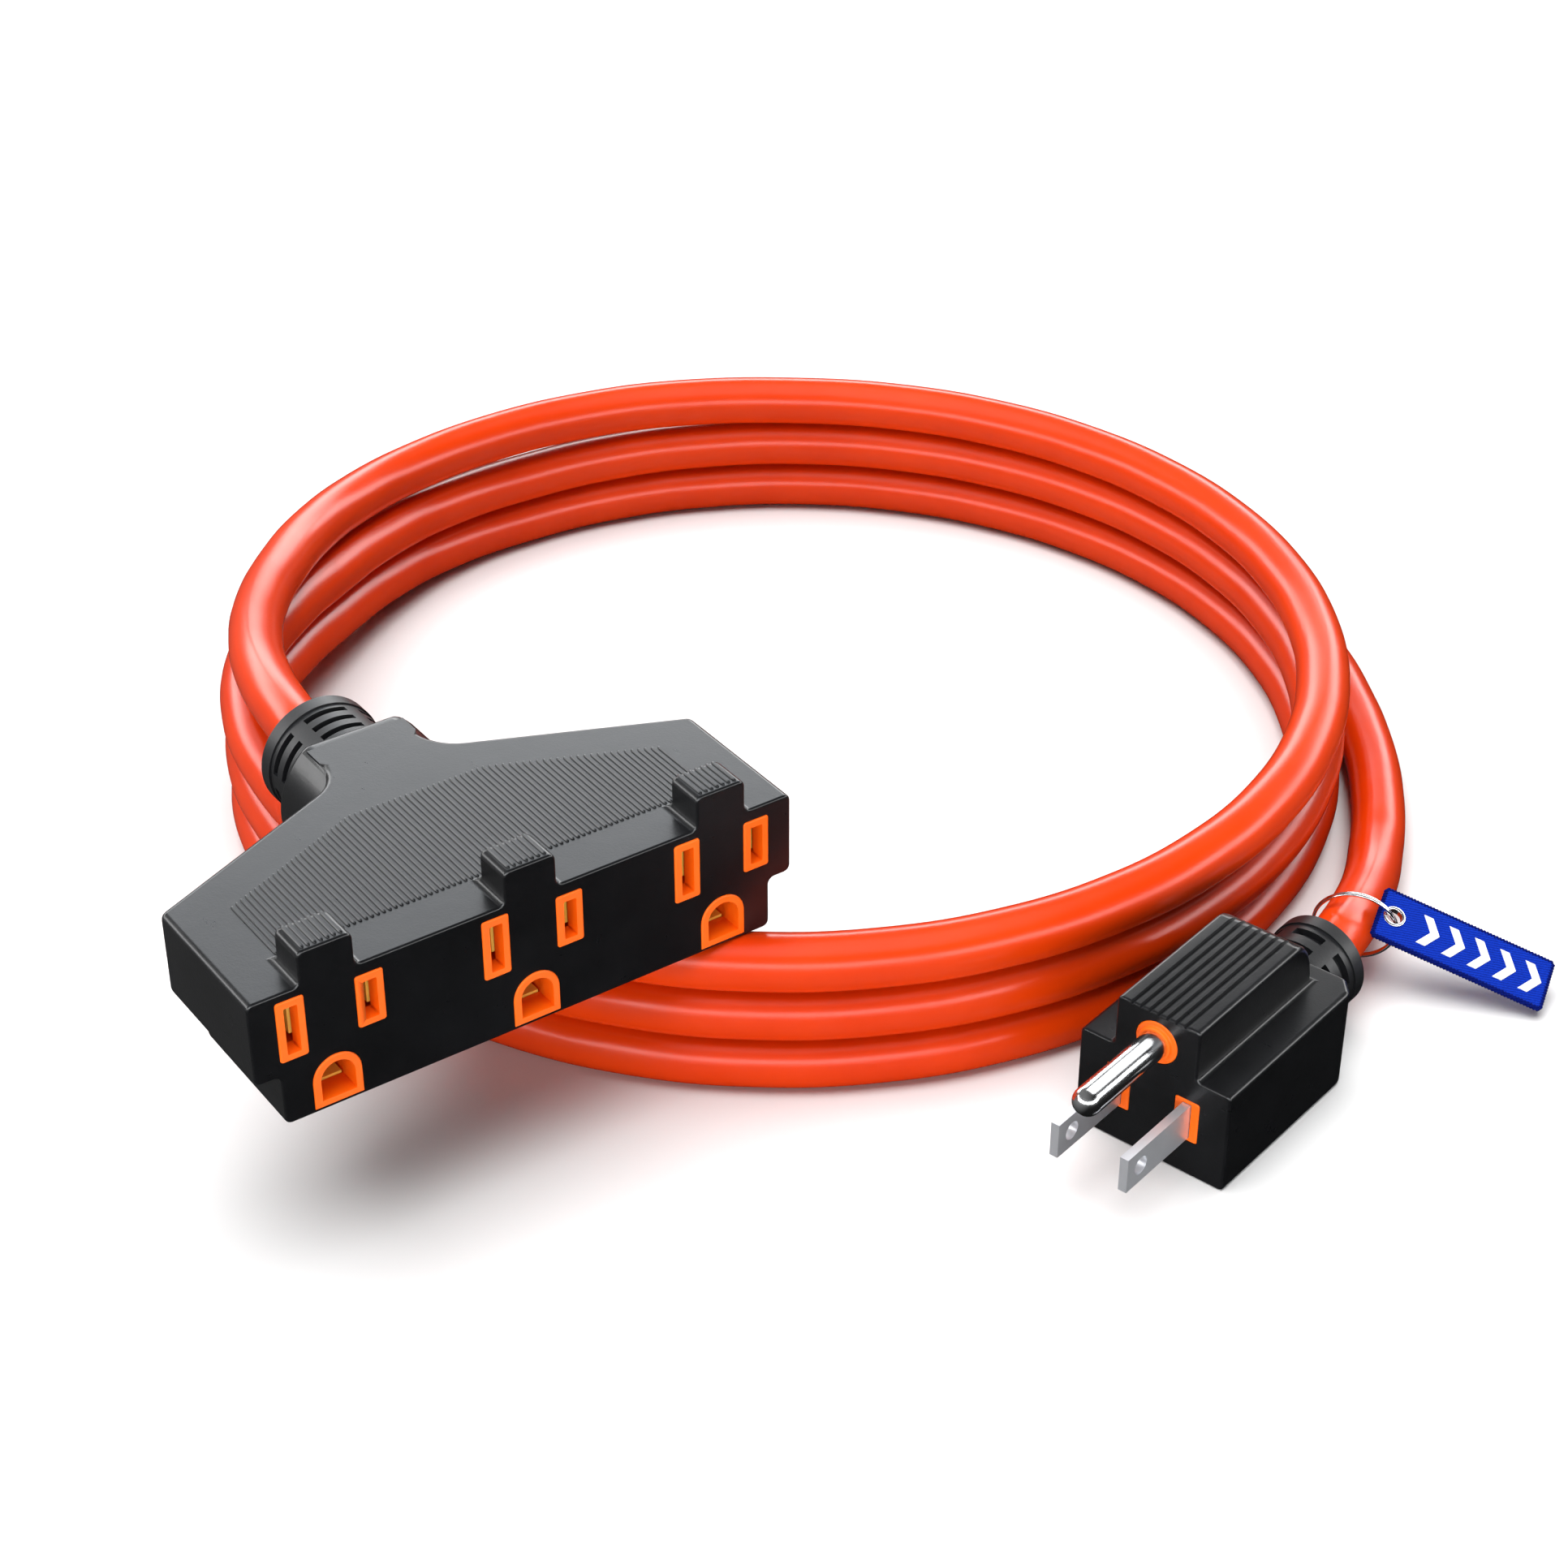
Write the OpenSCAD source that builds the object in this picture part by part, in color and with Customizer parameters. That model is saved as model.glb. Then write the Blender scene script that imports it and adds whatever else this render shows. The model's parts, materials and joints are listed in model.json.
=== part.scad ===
// Extension cord with a three-outlet connector, a grounded plug and a tag on a split ring.
// The cord lies coiled on the floor, and the connector rests on the coil.
// Origin: on the outlet face, midway between the blade slots of the middle outlet.
// X runs along the outlets, Y from the face into the connector, Z up.

/* [Cord] */
// Diameter of the cord's jacket
cord_d = 9.6; // [8:0.1:10]
// Diameter of an insulated conductor
core_d = 2.8; // [2:0.1:3]
// Radius of the coil, to the middle of the cord
coil_r = 98; // [80:1:110]
// Number of turns stacked in the coil
coil_levels = 3; // [2:1:4]

/* [Connector] */
// Width of the connector over its ends
conn_w = 93.2; // [92:0.1:100]
// Height of the flat top above the blade slots' centre line
conn_top = 6.7; // [6.6:0.1:9]
// Height of the whole housing under the flat top
conn_h = 23.3; // [23.3:0.1:26]
// Depth of the straight ends
conn_side_d = 27.6; // [25:0.1:32]
// Depth from the face to the end of the neck
neck_end = 55.6; // [54:0.1:60]
// Slope of the rear edges towards the neck, in degrees
rear_slope = 23.6; // [20:0.1:28]
// Half width of the neck at the flat top
neck_half = 8.6; // [8:0.1:10]
// Radius of the fillet between the rear edges and the neck
neck_fillet = 8; // [5:0.5:10]
// Radius of the neck's bulging sides
neck_r = 13.6; // [12:0.1:14]
// How far each end steps in at the plinth
plinth_step = 4.1; // [3:0.1:4.2]
// Height of the plinth
plinth_h = 8.9; // [8:0.1:9]
// Width of each hook tab over an outlet
tab_w = 8.9; // [7:0.1:11]
// Height of a hook tab above the flat top
tab_h = 6.05; // [4:0.05:8]
// Depth of a hook tab from the face
tab_d = 7.5; // [6:0.1:9]
// Number of grip grooves on each tab
tab_grooves = 6; // [3:1:7]

/* [Outlets] */
// Distance between neighbouring outlets
outlet_pitch = 33.7; // [33:0.1:34]
// Distance between the two blades of a grounded plug
blade_gap = 12.7; // [12.7:0.1:12.8]
// Distance from the blades' line to the ground pin
ground_drop = 11.9; // [11.9:0.1:12]
// Width of a blade slot
slot_w = 2.2; // [2:0.1:2.4]
// Height of the neutral slot
neutral_slot_h = 8.2; // [8:0.1:8.4]
// Height of the line slot
line_slot_h = 6.8; // [6.6:0.1:7.2]
// Width of the ground hole
ground_hole_w = 5.6; // [5.2:0.1:5.8]
// Height of the ground hole
ground_hole_h = 6.2; // [6:0.1:6.4]
// Width of the coloured rim round every hole
rim_w = 1.2; // [0.8:0.1:1.2]
// How far the rims stand out of the face
rim_proud = 0.2; // [0:0.1:0.5]

/* [Plug] */
// Half width of the plug
plug_half = 13.9; // [13:0.1:15]
// Depth of the plug's housing
plug_d = 37.5; // [36:0.5:42]
// Height of the shoulders above the blades' centre line
shoulder_top = 8; // [7.6:0.1:9]
// Depth of the housing's base below the blades' centre line
plug_base = 10.5; // [10:0.1:11]
// Half width of the raised middle block
block_half = 7.6; // [7:0.1:8]
// Height of the raised middle block above the blades' centre line
block_top = 17.3; // [17:0.1:19]
// Depth of the middle block's flat top
block_d = 27.5; // [26:0.5:29]
// Number of grip grooves on the middle block
plug_grooves = 7; // [3:1:8]
// Length of a blade in front of the face
blade_len = 16.9; // [16:0.1:18]
// Height of a blade
blade_h = 6.35; // [6.2:0.05:6.4]
// Thickness of a blade
blade_t = 1.5; // [1.4:0.1:1.6]
// Length of the ground pin in front of the face
pin_len = 20.6; // [20:0.1:22]
// Diameter of the ground pin
pin_d = 4.8; // [4.7:0.1:4.9]

/* [Strain reliefs] */
// Radius of the connector's strain relief
conn_boot_r = 9.9; // [9:0.1:10.2]
// Length of the connector's strain relief outside the neck
conn_boot_len = 12.4; // [11:0.1:16]
// Radius of the plug's strain relief
plug_boot_r = 8; // [7.8:0.1:8.5]
// Length of the plug's strain relief outside the housing
plug_boot_len = 12; // [11:0.1:16]
// Length of each strain relief's sleeve inside its housing
sleeve_len = 8; // [6:0.5:10]

/* [Tag] */
// Length of the tag
tag_len = 31; // [28:0.5:34]
// Width of the tag
tag_w = 10.5; // [9:0.5:12]
// Thickness of the woven patch
patch_t = 1; // [0.8:0.1:1.2]
// Width of the overlocked border
border_w = 0.9; // [0.7:0.1:1]
// Distance from the tag's end to the eyelet
eyelet_inset = 2.95; // [2.9:0.05:3.1]
// Mean radius of the split ring
ring_r = 6.9; // [6.8:0.1:7.2]
// Diameter of the split ring's wire
wire_d = 0.55; // [0.5:0.05:0.6]

/* [Hidden] */
$fn = 48;
gap = 0.05;      // play between pieces that are moulded or pressed together
over = 1;        // how far a cutting shape runs past the surface that it cuts

// Cord
cord_r = cord_d / 2;
core_r = core_d / 2;
core_ring = 1.75;           // distance of each conductor from the cord's middle
coil_h = coil_levels * cord_d;
conn_base = conn_top - conn_h;
floor_z = conn_base - coil_h;
coil_c = [99, 76];
outer_turn_r = coil_r + cord_d + 0.1;
tube_sides = 10;
core_sides = 8;

// Connector
skin = 1.6;                 // thickness of the shell in front of the insert
conn_half = conn_w / 2;
plinth_top = conn_base + plinth_h;
plinth_neck_half = 5;
neck_start = 41.7;          // depth at which the neck's bulge begins, inside the housing
conn_axis_z = -4.2;         // height of the cord where it leaves the connector
tab_groove_depth = 0.3;
insert_top = 5.2;
insert_half = 44.4;
insert_step_z = -5.6;
insert_foot_half = 40.9;
insert_base = -15.3;
insert_end = 19.2;
cover_end = 21.7;
wiring_end = 36;            // where the jacket ends inside the connector
wiring_half = 10;
wiring_base = -14.2;
boot_flange = 2.6;          // length of the plain ring at a strain relief's end
boot_flange_rise = 0.3;     // how far the plain ring stands out of the drum
boot_wall = 0.4;            // rubber left between the slots and the sleeve's radius
boot_first_slot = 0.6;      // distance of the first row of slots, in rows
boot_slot_share = 0.45;     // width of a slot, in rows
boot_last_gap = 0.4;        // rubber after the last row, in rows
sleeve_r = 6.4;
outlets = [-outlet_pitch, 0, outlet_pitch];
blade_x = blade_gap / 2;

// Contacts
bus_y = 18;
bus_t = 0.8;
bus_h = 1.8;
line_bus_z = 3.3;
neutral_bus_z = -3.3;
ground_bus_z = -ground_drop;
bus_over = 3;               // how far a bus bar runs past its end contacts
leaf_t = 0.5;
leaf_start = 2.9;           // depth at which the spring leaves for the blades begin
ground_leaf_start = 4.2;
leaf_end = 15.5;
web_t = 0.6;
clip_h = 6;
ground_clip_w = 5.2;
pocket_start = 2.5;         // thickness of the front wall, with the shell, at the blade slots
ground_pocket_start = 4;
pocket_half = 3;
pocket_h = 4.6;
ground_pocket_top = 3.3;
insert_floor = 0.4;         // thickness of the insert under the ground contacts
bus_end_wall = 1;           // thickness of the insert beyond the ends of the bus bars' grooves
line_bus_reach = 3;         // how far the line groove runs past the insert's narrow foot
crimp_r = 1.7;
crimp_bore = 1.2;
crimp_len = 7.2;
crimp_x = 6;
crimp_z = 3;

// Plug: its own axes are across the blades, from the face to the cord, and up
plug_at = [78.5, -51.8];
plug_turn = -75;
plug_axis_z = -0.9;         // height of the cord above the blades' centre line
plug_insert_end = 20;
plug_wiring_end = 30;
blade_tail = 14;
pin_tail = 12;
plug_foot = [21.8, 12.8];   // width and height of the insert round the blades
plug_upright = [10.8, 16];  // width and top of the insert's upright round the ground pin
plug_wiring = [18, 12];     // width and height of the space for the conductors
pin_wiring = [6, 14.4];     // width and top of the space behind the ground pin
pin_tail_r = 2.1;           // radius of the ground pin inside the insert
chamfer = [2.5, 3];         // the housing's rear corners, across and along
block_slope = 5.5;          // length of the middle block's rounded rear
groove_w = 0.5;
plug_groove_pitch = 1.62;
plug_groove_depth = 0.4;
pad = [4.5, 7.8];           // coloured pad round each blade
pad_r = 3.8;                // coloured disc round the ground pin
collar_r = 2.9;
collar_t = 0.8;
blade_hole_d = 3.2;
blade_hole_inset = 3.6;

// Tag and ring: the ring hangs round the cord and the tag lies against the floor
eyelet_at = [141.6, -40.1, floor_z + 12.4];
ring_yaw = -55;             // direction from the cord's middle to the eyelet
ring_rise = 25;
ring_lean = 8;
tag_yaw = -51.5;
tag_fall = 18.5;
tag_lean = 20;
wire_pitch = 0.94 * wire_d; // the two turns of wire press on each other
eyelet_r = 1.95;
eyelet_hole_r = 1.35;
eyelet_wall = 0.2;
border_t = 1.2;

// Routes of the free cord: [x, y, height of its middle above the floor]
conn_route = [[0, wiring_end, 41.2], [0, 52, 41.2], [0, 68, 41.2], [1, 78, 41], [4.5, 95.5, 39.5],
              [11, 112.3, 37], [20, 127.8, 34.2], [30.8, 141.5, 31.6], [43.4, 153.9, 29.4], [57.6, 163.7, 27.6]];
plug_route = [[136.5, -34.4, 9], [144, -30, 7.5], [154, -23, 5.5], [161, -17, 4.8],
              [167.5, -11, 4.8], [174, -4, 4.8], [180, 3.2, 4.8], [185.4, 10.9, 4.8]];

// A point on a turn of the coil, at an angle, a radius and a height above the floor
function turn_point(a, r, h) = [coil_c[0] + r * cos(a), coil_c[1] + r * sin(a), h];
// Routes with their heights measured from the origin instead of the floor
function from_floor(route) = [for (p = route) [p[0], p[1], p[2] + floor_z]];
// A point in the plug's own axes, in the connector's axes and above the floor
function plug_point(u, v, z) = [plug_at[0] + u * cos(plug_turn) - v * sin(plug_turn),
                                plug_at[1] + u * sin(plug_turn) + v * cos(plug_turn),
                                z + plug_base];

// Angle at which the outermost turn is clear of the others, and the angle that it takes to get there
tuck_end = 100;
tuck_span = 45;

settle = [for (a = [104:-12:56]) turn_point(a, coil_r, 26.2 - 2.2 * (104 - a) / 52)];
outside = [for (a = [-32:12:88]) turn_point(a, outer_turn_r, cord_r)];
tuck_in = [for (a = [tuck_end:tuck_span / 3:tuck_end + tuck_span])
           turn_point(a, coil_r + cord_d * sqrt(1 - pow((a - tuck_end) / tuck_span, 2)), cord_r)];
plug_exit = [for (v = [plug_wiring_end, plug_d + plug_boot_len]) plug_point(0, v, plug_axis_z)];

function unit(v) = v / norm(v);
function heading(path, i) = unit(path[min(i + 1, len(path) - 1)] - path[max(i - 1, 0)]);
function ring_points(c, t, r, sides) =
    let (side = unit(cross(t, [0, 0, 1])), up = cross(side, t))
    [for (k = [0:sides - 1]) c + r * (cos(360 * k / sides) * side + sin(360 * k / sides) * up)];

// A round tube swept along a list of points, closed at both ends
module tube(path, r, sides) {
    last = len(path) - 1;
    points = [for (i = [0:last]) each ring_points(path[i], heading(path, i), r, sides)];
    walls = [for (i = [0:last - 1], k = [0:sides - 1])
             let (n = (k + 1) % sides)
             [i * sides + k, (i + 1) * sides + k, (i + 1) * sides + n, i * sides + n]];
    first_cap = [for (k = [0:sides - 1]) k];
    last_cap = [for (k = [sides - 1:-1:0]) last * sides + k];
    polyhedron(points, concat([first_cap], walls, [last_cap]));
}

// Extrudes a flat shape drawn across X and Z from one depth to another
module along_y(from, to) {
    translate([0, to, 0])
        rotate([90, 0, 0])
            linear_extrude(to - from) children();
}

// A box given by two opposite corners
module block(low, high) {
    translate(low) cube(high - low);
}

// A rod or bore along Y
module rod_y(x, z, r, from, to) {
    translate([x, to, z])
        rotate([90, 0, 0])
            cylinder(r = r, h = to - from);
}

// Copies a piece to every outlet
module at_outlets() {
    for (x = outlets) translate([x, 0, 0]) children();
}

// Moves a piece drawn in the plug's own axes to where the plug lies
module at_plug() {
    translate([plug_at[0], plug_at[1], floor_z + plug_base])
        rotate([0, 0, plug_turn]) children();
}

// Moves a piece drawn round the eyelet, along the tag, to where the tag lies
module at_tag() {
    translate(eyelet_at)
        rotate([tag_lean, tag_fall, tag_yaw]) children();
}

// Right half of a plan outline: straight end, sloping rear edge, fillet, neck
function half_plan(half, side_d, neck, fillet, end) =
    let (n = [sin(rear_slope), cos(rear_slope)],
         cx = neck + fillet,
         cy = side_d + (fillet - n[0] * (cx - half)) / n[1])
    concat([[half, 0], [half, side_d]],
           [for (k = [0:6]) let (a = 270 - rear_slope - k * (90 - rear_slope) / 6)
            [cx + fillet * cos(a), cy + fillet * sin(a)]],
           [[neck, end]]);

module full_plan(right) {
    last = len(right) - 1;
    polygon(concat(right, [for (i = [last:-1:0]) [-right[i][0], right[i][1]]]));
}

// Ground hole, flat below and arched above, round the ground pin's centre
module ground_outline(grow) {
    w = ground_hole_w + 2 * grow;
    base = -ground_hole_w / 2 - grow;
    arch_z = ground_hole_h - ground_hole_w;
    translate([0, arch_z]) circle(d = w);
    translate([-w / 2, base]) square([w, arch_z - base]);
}

// The three holes of one outlet, all grown by the same amount
module outlet_outline(grow) {
    slot = [slot_w + 2 * grow, neutral_slot_h + 2 * grow];
    translate([-blade_x, 0]) square(slot, center = true);
    translate([blade_x, 0]) square([slot[0], line_slot_h + 2 * grow], center = true);
    translate([0, -ground_drop]) ground_outline(grow);
}

// T-shaped section of the insert, grown for the shell's pocket
module insert_section(grow) {
    translate([-insert_half - grow, insert_step_z - grow])
        square([2 * (insert_half + grow), insert_top - insert_step_z + 2 * grow]);
    translate([-insert_foot_half - grow, insert_base - grow])
        square([2 * (insert_foot_half + grow), insert_step_z - insert_base + grow]);
}

// Hook tab over an outlet, with grip grooves on its top
module hook_tab() {
    pitch = tab_w / (tab_grooves + 2);
    difference() {
        block([-tab_w / 2, 0, conn_top - gap], [tab_w / 2, tab_d, conn_top + tab_h]);
        for (i = [0:tab_grooves - 1])
            translate([(i - (tab_grooves - 1) / 2) * pitch - groove_w / 2, -over,
                       conn_top + tab_h - tab_groove_depth])
                cube([groove_w, tab_d + 2 * over, over]);
    }
}

module connector_shell() color("#2a2c30") {
    difference() {
        union() {
            translate([0, 0, plinth_top])
                linear_extrude(conn_top - plinth_top)
                    full_plan(half_plan(conn_half, conn_side_d, neck_half, neck_fillet, neck_end));
            translate([0, 0, conn_base])
                linear_extrude(plinth_h)
                    full_plan(half_plan(conn_half - plinth_step, conn_side_d - plinth_step / 2,
                                        plinth_neck_half, neck_fillet, neck_end));
            intersection() {
                rod_y(0, conn_axis_z, neck_r, neck_start, neck_end);
                block([-neck_r, 0, conn_base], [neck_r, neck_end, conn_top]);
            }
            at_outlets() hook_tab();
        }
        along_y(skin, cover_end) insert_section(gap);
        at_outlets() along_y(-over, skin + over) outlet_outline(rim_w + gap);
        block([-wiring_half, cover_end - over, wiring_base], [wiring_half, wiring_end, insert_top]);
        rod_y(0, conn_axis_z, cord_r + gap, wiring_end - over, neck_end);
        rod_y(0, conn_axis_z, sleeve_r + gap, neck_end - sleeve_len, neck_end + over);
    }
}

// A ring of slots cut into a strain relief, in sectors that leave ribs between them
module boot_slots(r, depth, y, w, sectors, sector_angle) {
    for (k = [0:sectors - 1])
        translate([0, y, 0])
            rotate([-90, 360 / sectors * (k + 0.5) - sector_angle / 2, 0])
                rotate_extrude(angle = sector_angle)
                    translate([r - depth, 0]) square([depth + over, w]);
}

// Strain relief along Y from y = 0: sleeve inside, slotted drum and plain ring outside
module boot(r, len, rows, sectors, sector_angle) {
    row_pitch = (len - boot_flange) / (rows + boot_last_gap);
    difference() {
        union() {
            rod_y(0, 0, sleeve_r, -sleeve_len, over);
            rod_y(0, 0, r, 0, len - boot_flange);
            rod_y(0, 0, r + boot_flange_rise, len - boot_flange, len);
        }
        rod_y(0, 0, cord_r + gap, -sleeve_len - over, len + over);
        for (i = [0:rows - 1])
            boot_slots(r, r - sleeve_r - boot_wall, (i + boot_first_slot) * row_pitch,
                       row_pitch * boot_slot_share, sectors, sector_angle);
    }
}

module connector_strain_relief() color("#2f3136")
    translate([0, neck_end, conn_axis_z])
        boot(conn_boot_r, conn_boot_len, 3, 6, 44);

// Groove for a bus bar in the back of the insert
module bus_groove(from, to, z) {
    block([from + bus_end_wall, bus_y - gap, z - bus_h / 2 - gap],
          [to - bus_end_wall, insert_end + over, z + bus_h / 2 + gap]);
}

module outlet_insert() color("#ff6a1a") {
    difference() {
        union() {
            along_y(skin + gap, insert_end) insert_section(0);
            at_outlets() along_y(-rim_proud, skin + 2 * gap) outlet_outline(rim_w);
        }
        at_outlets() {
            along_y(-over, ground_pocket_start + over) outlet_outline(0);
            for (x = [-blade_x, blade_x])
                block([x - pocket_half, pocket_start, -pocket_h],
                      [x + pocket_half, insert_end + over, pocket_h]);
            block([-pocket_half, ground_pocket_start, insert_base + insert_floor],
                  [pocket_half, insert_end + over, ground_pocket_top - ground_drop]);
        }
        bus_groove(-insert_foot_half, insert_foot_half + line_bus_reach, line_bus_z);
        bus_groove(-insert_half, insert_foot_half, neutral_bus_z);
        bus_groove(-insert_foot_half, insert_foot_half, ground_bus_z);
    }
}

module insert_rear_cover() color("#f2640f") {
    difference() {
        along_y(insert_end + gap, cover_end - gap) insert_section(0);
        rod_y(crimp_x, crimp_z, crimp_r + gap, insert_end - over, cover_end + over);
        rod_y(-crimp_x, -crimp_z, crimp_r + gap, insert_end - over, cover_end + over);
        rod_y(0, ground_bus_z, crimp_r + gap, insert_end - over, cover_end + over);
    }
}

// Brass strip that joins the three contacts of one pole
module bus_bar(x, z) {
    block([outlets[0] + x - bus_over / 2, bus_y, z - bus_h / 2],
          [outlets[2] + x + bus_over / 2, bus_y + bus_t, z + bus_h / 2]);
}

module line_bus_bar() color("#d8a92f") bus_bar(blade_x, line_bus_z);
module neutral_bus_bar() color("#d8a92f") bus_bar(-blade_x, neutral_bus_z);
module ground_bus_bar() color("#d8a92f") bus_bar(0, ground_bus_z);

// Two spring leaves, their web and the strap to the bus bar, for one blade
module blade_clip(x, bus_z) {
    half = blade_t / 2;
    strap_z = sign(bus_z) * (clip_h / 2 - web_t / 2);
    translate([x, 0, 0]) {
        for (s = [-1, 1])
            block([s * (half + leaf_t / 2) - leaf_t / 2, leaf_start, -clip_h / 2],
                  [s * (half + leaf_t / 2) + leaf_t / 2, leaf_end + web_t, clip_h / 2]);
        block([-half - leaf_t, leaf_end, -clip_h / 2], [half + leaf_t, leaf_end + web_t, clip_h / 2]);
        block([-half, leaf_end, strap_z - web_t / 2], [half, bus_y, strap_z + web_t / 2]);
    }
}

module line_contacts() color("#e0b23a") at_outlets() blade_clip(blade_x, line_bus_z);
module neutral_contacts() color("#e0b23a") at_outlets() blade_clip(-blade_x, neutral_bus_z);

// Two leaves above and below the ground pin, their web and the strap to the bus bar
module ground_clip() {
    half = ground_clip_w / 2;
    r = pin_d / 2;
    translate([0, 0, -ground_drop]) {
        for (s = [-1, 1])
            block([-half, ground_leaf_start, s * (r + leaf_t / 2) - leaf_t / 2],
                  [half, leaf_end + web_t, s * (r + leaf_t / 2) + leaf_t / 2]);
        block([-half, leaf_end, -r - leaf_t], [half, leaf_end + web_t, r + leaf_t]);
        block([-blade_t, leaf_end, -web_t / 2], [blade_t, bus_y, web_t / 2]);
    }
}

module ground_contacts() color("#e0b23a") at_outlets() ground_clip();

// Crimp barrel from a depth along Y
module crimp(x, z, from, len) {
    difference() {
        rod_y(x, z, crimp_r, from, from + len);
        rod_y(x, z, crimp_bore, from + over, from + len + over);
    }
}

module connector_crimps() color("#c9a24a") {
    crimp(crimp_x, crimp_z, bus_y + bus_t, crimp_len);
    crimp(-crimp_x, -crimp_z, bus_y + bus_t, crimp_len);
    crimp(0, ground_bus_z, bus_y + bus_t, crimp_len);
}

// One conductor from its crimp barrel to its place in the end of the jacket
module core_between(start, end) {
    turn = 0.28 * (end[1] - start[1]);
    tube([start, start + [0, turn, 0], (start + end) / 2, end - [0, turn, 0], end], core_r, core_sides);
}

module connector_core(x, z, a) {
    core_between([x, bus_y + bus_t + crimp_len, z],
                 [core_ring * cos(a), wiring_end, conn_axis_z + core_ring * sin(a)]);
}

module connector_line_core() color("#222222") connector_core(crimp_x, crimp_z, 30);
module connector_neutral_core() color("#f0f0ec") connector_core(-crimp_x, -crimp_z, 150);
module connector_ground_core() color("#1f8a44") connector_core(0, ground_bus_z, 270);

module connector_lead() color("#f0441c")
    tube(from_floor(concat(conn_route, settle)), cord_r, tube_sides);

// Outer shape of the stacked turns
module cord_coil() color("#f0441c")
    translate([coil_c[0], coil_c[1], floor_z])
        rotate_extrude($fn = 96)
            translate([coil_r, 0]) {
                translate([-cord_r, cord_r]) square([cord_d, coil_h - cord_d]);
                translate([0, cord_r]) circle(cord_r);
                translate([0, coil_h - cord_r]) circle(cord_r);
            }

module plug_lead() color("#f0441c")
    tube(from_floor(concat(plug_exit, plug_route, outside, tuck_in)), cord_r, tube_sides);

// Pads round the blades and the ground pin, drawn across the plug's width and height
module plug_pads(grow) {
    for (s = [-1, 1])
        translate([s * blade_x, 0]) square([pad[0] + 2 * grow, pad[1] + 2 * grow], center = true);
    translate([0, ground_drop]) circle(pad_r + grow);
}

// Section of the plug's insert, a wide foot with a narrow upright for the ground pin
module plug_insert_section(grow) {
    square([plug_foot[0] + 2 * grow, plug_foot[1] + 2 * grow], center = true);
    translate([-plug_upright[0] / 2 - grow, 0]) square([plug_upright[0] + 2 * grow, plug_upright[1] + grow]);
}

module plug_shell() color("#232528") at_plug() {
    difference() {
        union() {
            translate([0, 0, -plug_base])
                linear_extrude(plug_base + shoulder_top)
                    polygon([[-plug_half, 0], [plug_half, 0], [plug_half, plug_d - chamfer[1]],
                             [plug_half - chamfer[0], plug_d], [chamfer[0] - plug_half, plug_d],
                             [-plug_half, plug_d - chamfer[1]]]);
            translate([-block_half, 0, 0])
                rotate([90, 0, 90])
                    linear_extrude(2 * block_half)
                        polygon(concat([[0, 0], [block_d + block_slope, 0]],
                                       [for (a = [0:15:90])
                                        [block_d + block_slope * cos(a),
                                         shoulder_top + (block_top - shoulder_top) * sin(a)]],
                                       [[0, block_top]]));
        }
        for (i = [0:plug_grooves - 1])
            translate([(i - (plug_grooves - 1) / 2) * plug_groove_pitch - groove_w / 2, -over,
                       block_top - plug_groove_depth])
                cube([groove_w, block_d + over, over]);
        along_y(skin, plug_insert_end) plug_insert_section(gap);
        along_y(-over, skin + over) plug_pads(gap);
        block([-plug_wiring[0] / 2, plug_insert_end - over, -plug_wiring[1] / 2],
              [plug_wiring[0] / 2, plug_wiring_end, plug_wiring[1] / 2]);
        block([-pin_wiring[0] / 2, plug_insert_end - over, 0],
              [pin_wiring[0] / 2, block_d - over, pin_wiring[1]]);
        rod_y(0, plug_axis_z, cord_r + gap, plug_wiring_end - over, plug_d + over);
        rod_y(0, plug_axis_z, sleeve_r + gap, plug_d - sleeve_len, plug_d + over);
    }
}

module plug_strain_relief() color("#26282c") at_plug()
    translate([0, plug_d, plug_axis_z])
        boot(plug_boot_r, plug_boot_len, 2, 6, 40);

module plug_insert() color("#ff6a1a") at_plug() {
    difference() {
        union() {
            along_y(skin + gap, plug_insert_end - gap) plug_insert_section(0);
            along_y(-rim_proud / 2, skin + 2 * gap) plug_pads(0);
            rod_y(0, ground_drop, collar_r, -collar_t, over);
        }
        for (s = [-1, 1]) {
            block([s * blade_x - blade_t / 2 - gap, -over, -blade_h / 2 - gap],
                  [s * blade_x + blade_t / 2 + gap, blade_tail, blade_h / 2 + gap]);
            rod_y(s * blade_x, 0, crimp_r + gap, blade_tail - over / 2, plug_insert_end + over);
        }
        rod_y(0, ground_drop, pin_tail_r + gap, -2 * over, pin_tail);
        rod_y(0, ground_drop, crimp_r + gap, pin_tail - over / 2, plug_insert_end + over);
    }
}

// Flat blade with a hole near its tip
module blade(x) {
    difference() {
        block([x - blade_t / 2, -blade_len, -blade_h / 2],
              [x + blade_t / 2, blade_tail - over / 2, blade_h / 2]);
        translate([x - blade_t, blade_hole_inset - blade_len, 0])
            rotate([0, 90, 0])
                cylinder(d = blade_hole_d, h = 2 * blade_t);
    }
}

module line_blade() color("#cfd3d6") at_plug() blade(blade_x);
module neutral_blade() color("#cfd3d6") at_plug() blade(-blade_x);

module ground_pin() color("#d6dade") at_plug() {
    r = pin_d / 2;
    rod_y(0, ground_drop, r, r - pin_len, -collar_t);
    rod_y(0, ground_drop, pin_tail_r, -collar_t - over, pin_tail - over / 2);
    translate([0, r - pin_len, ground_drop]) sphere(r);
}

module plug_crimps() color("#c9a24a") at_plug() {
    for (s = [-1, 1])
        crimp(s * blade_x, 0, blade_tail - over / 2, plug_insert_end - blade_tail);
    crimp(0, ground_drop, pin_tail - over / 2, plug_insert_end - pin_tail);
}

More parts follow.
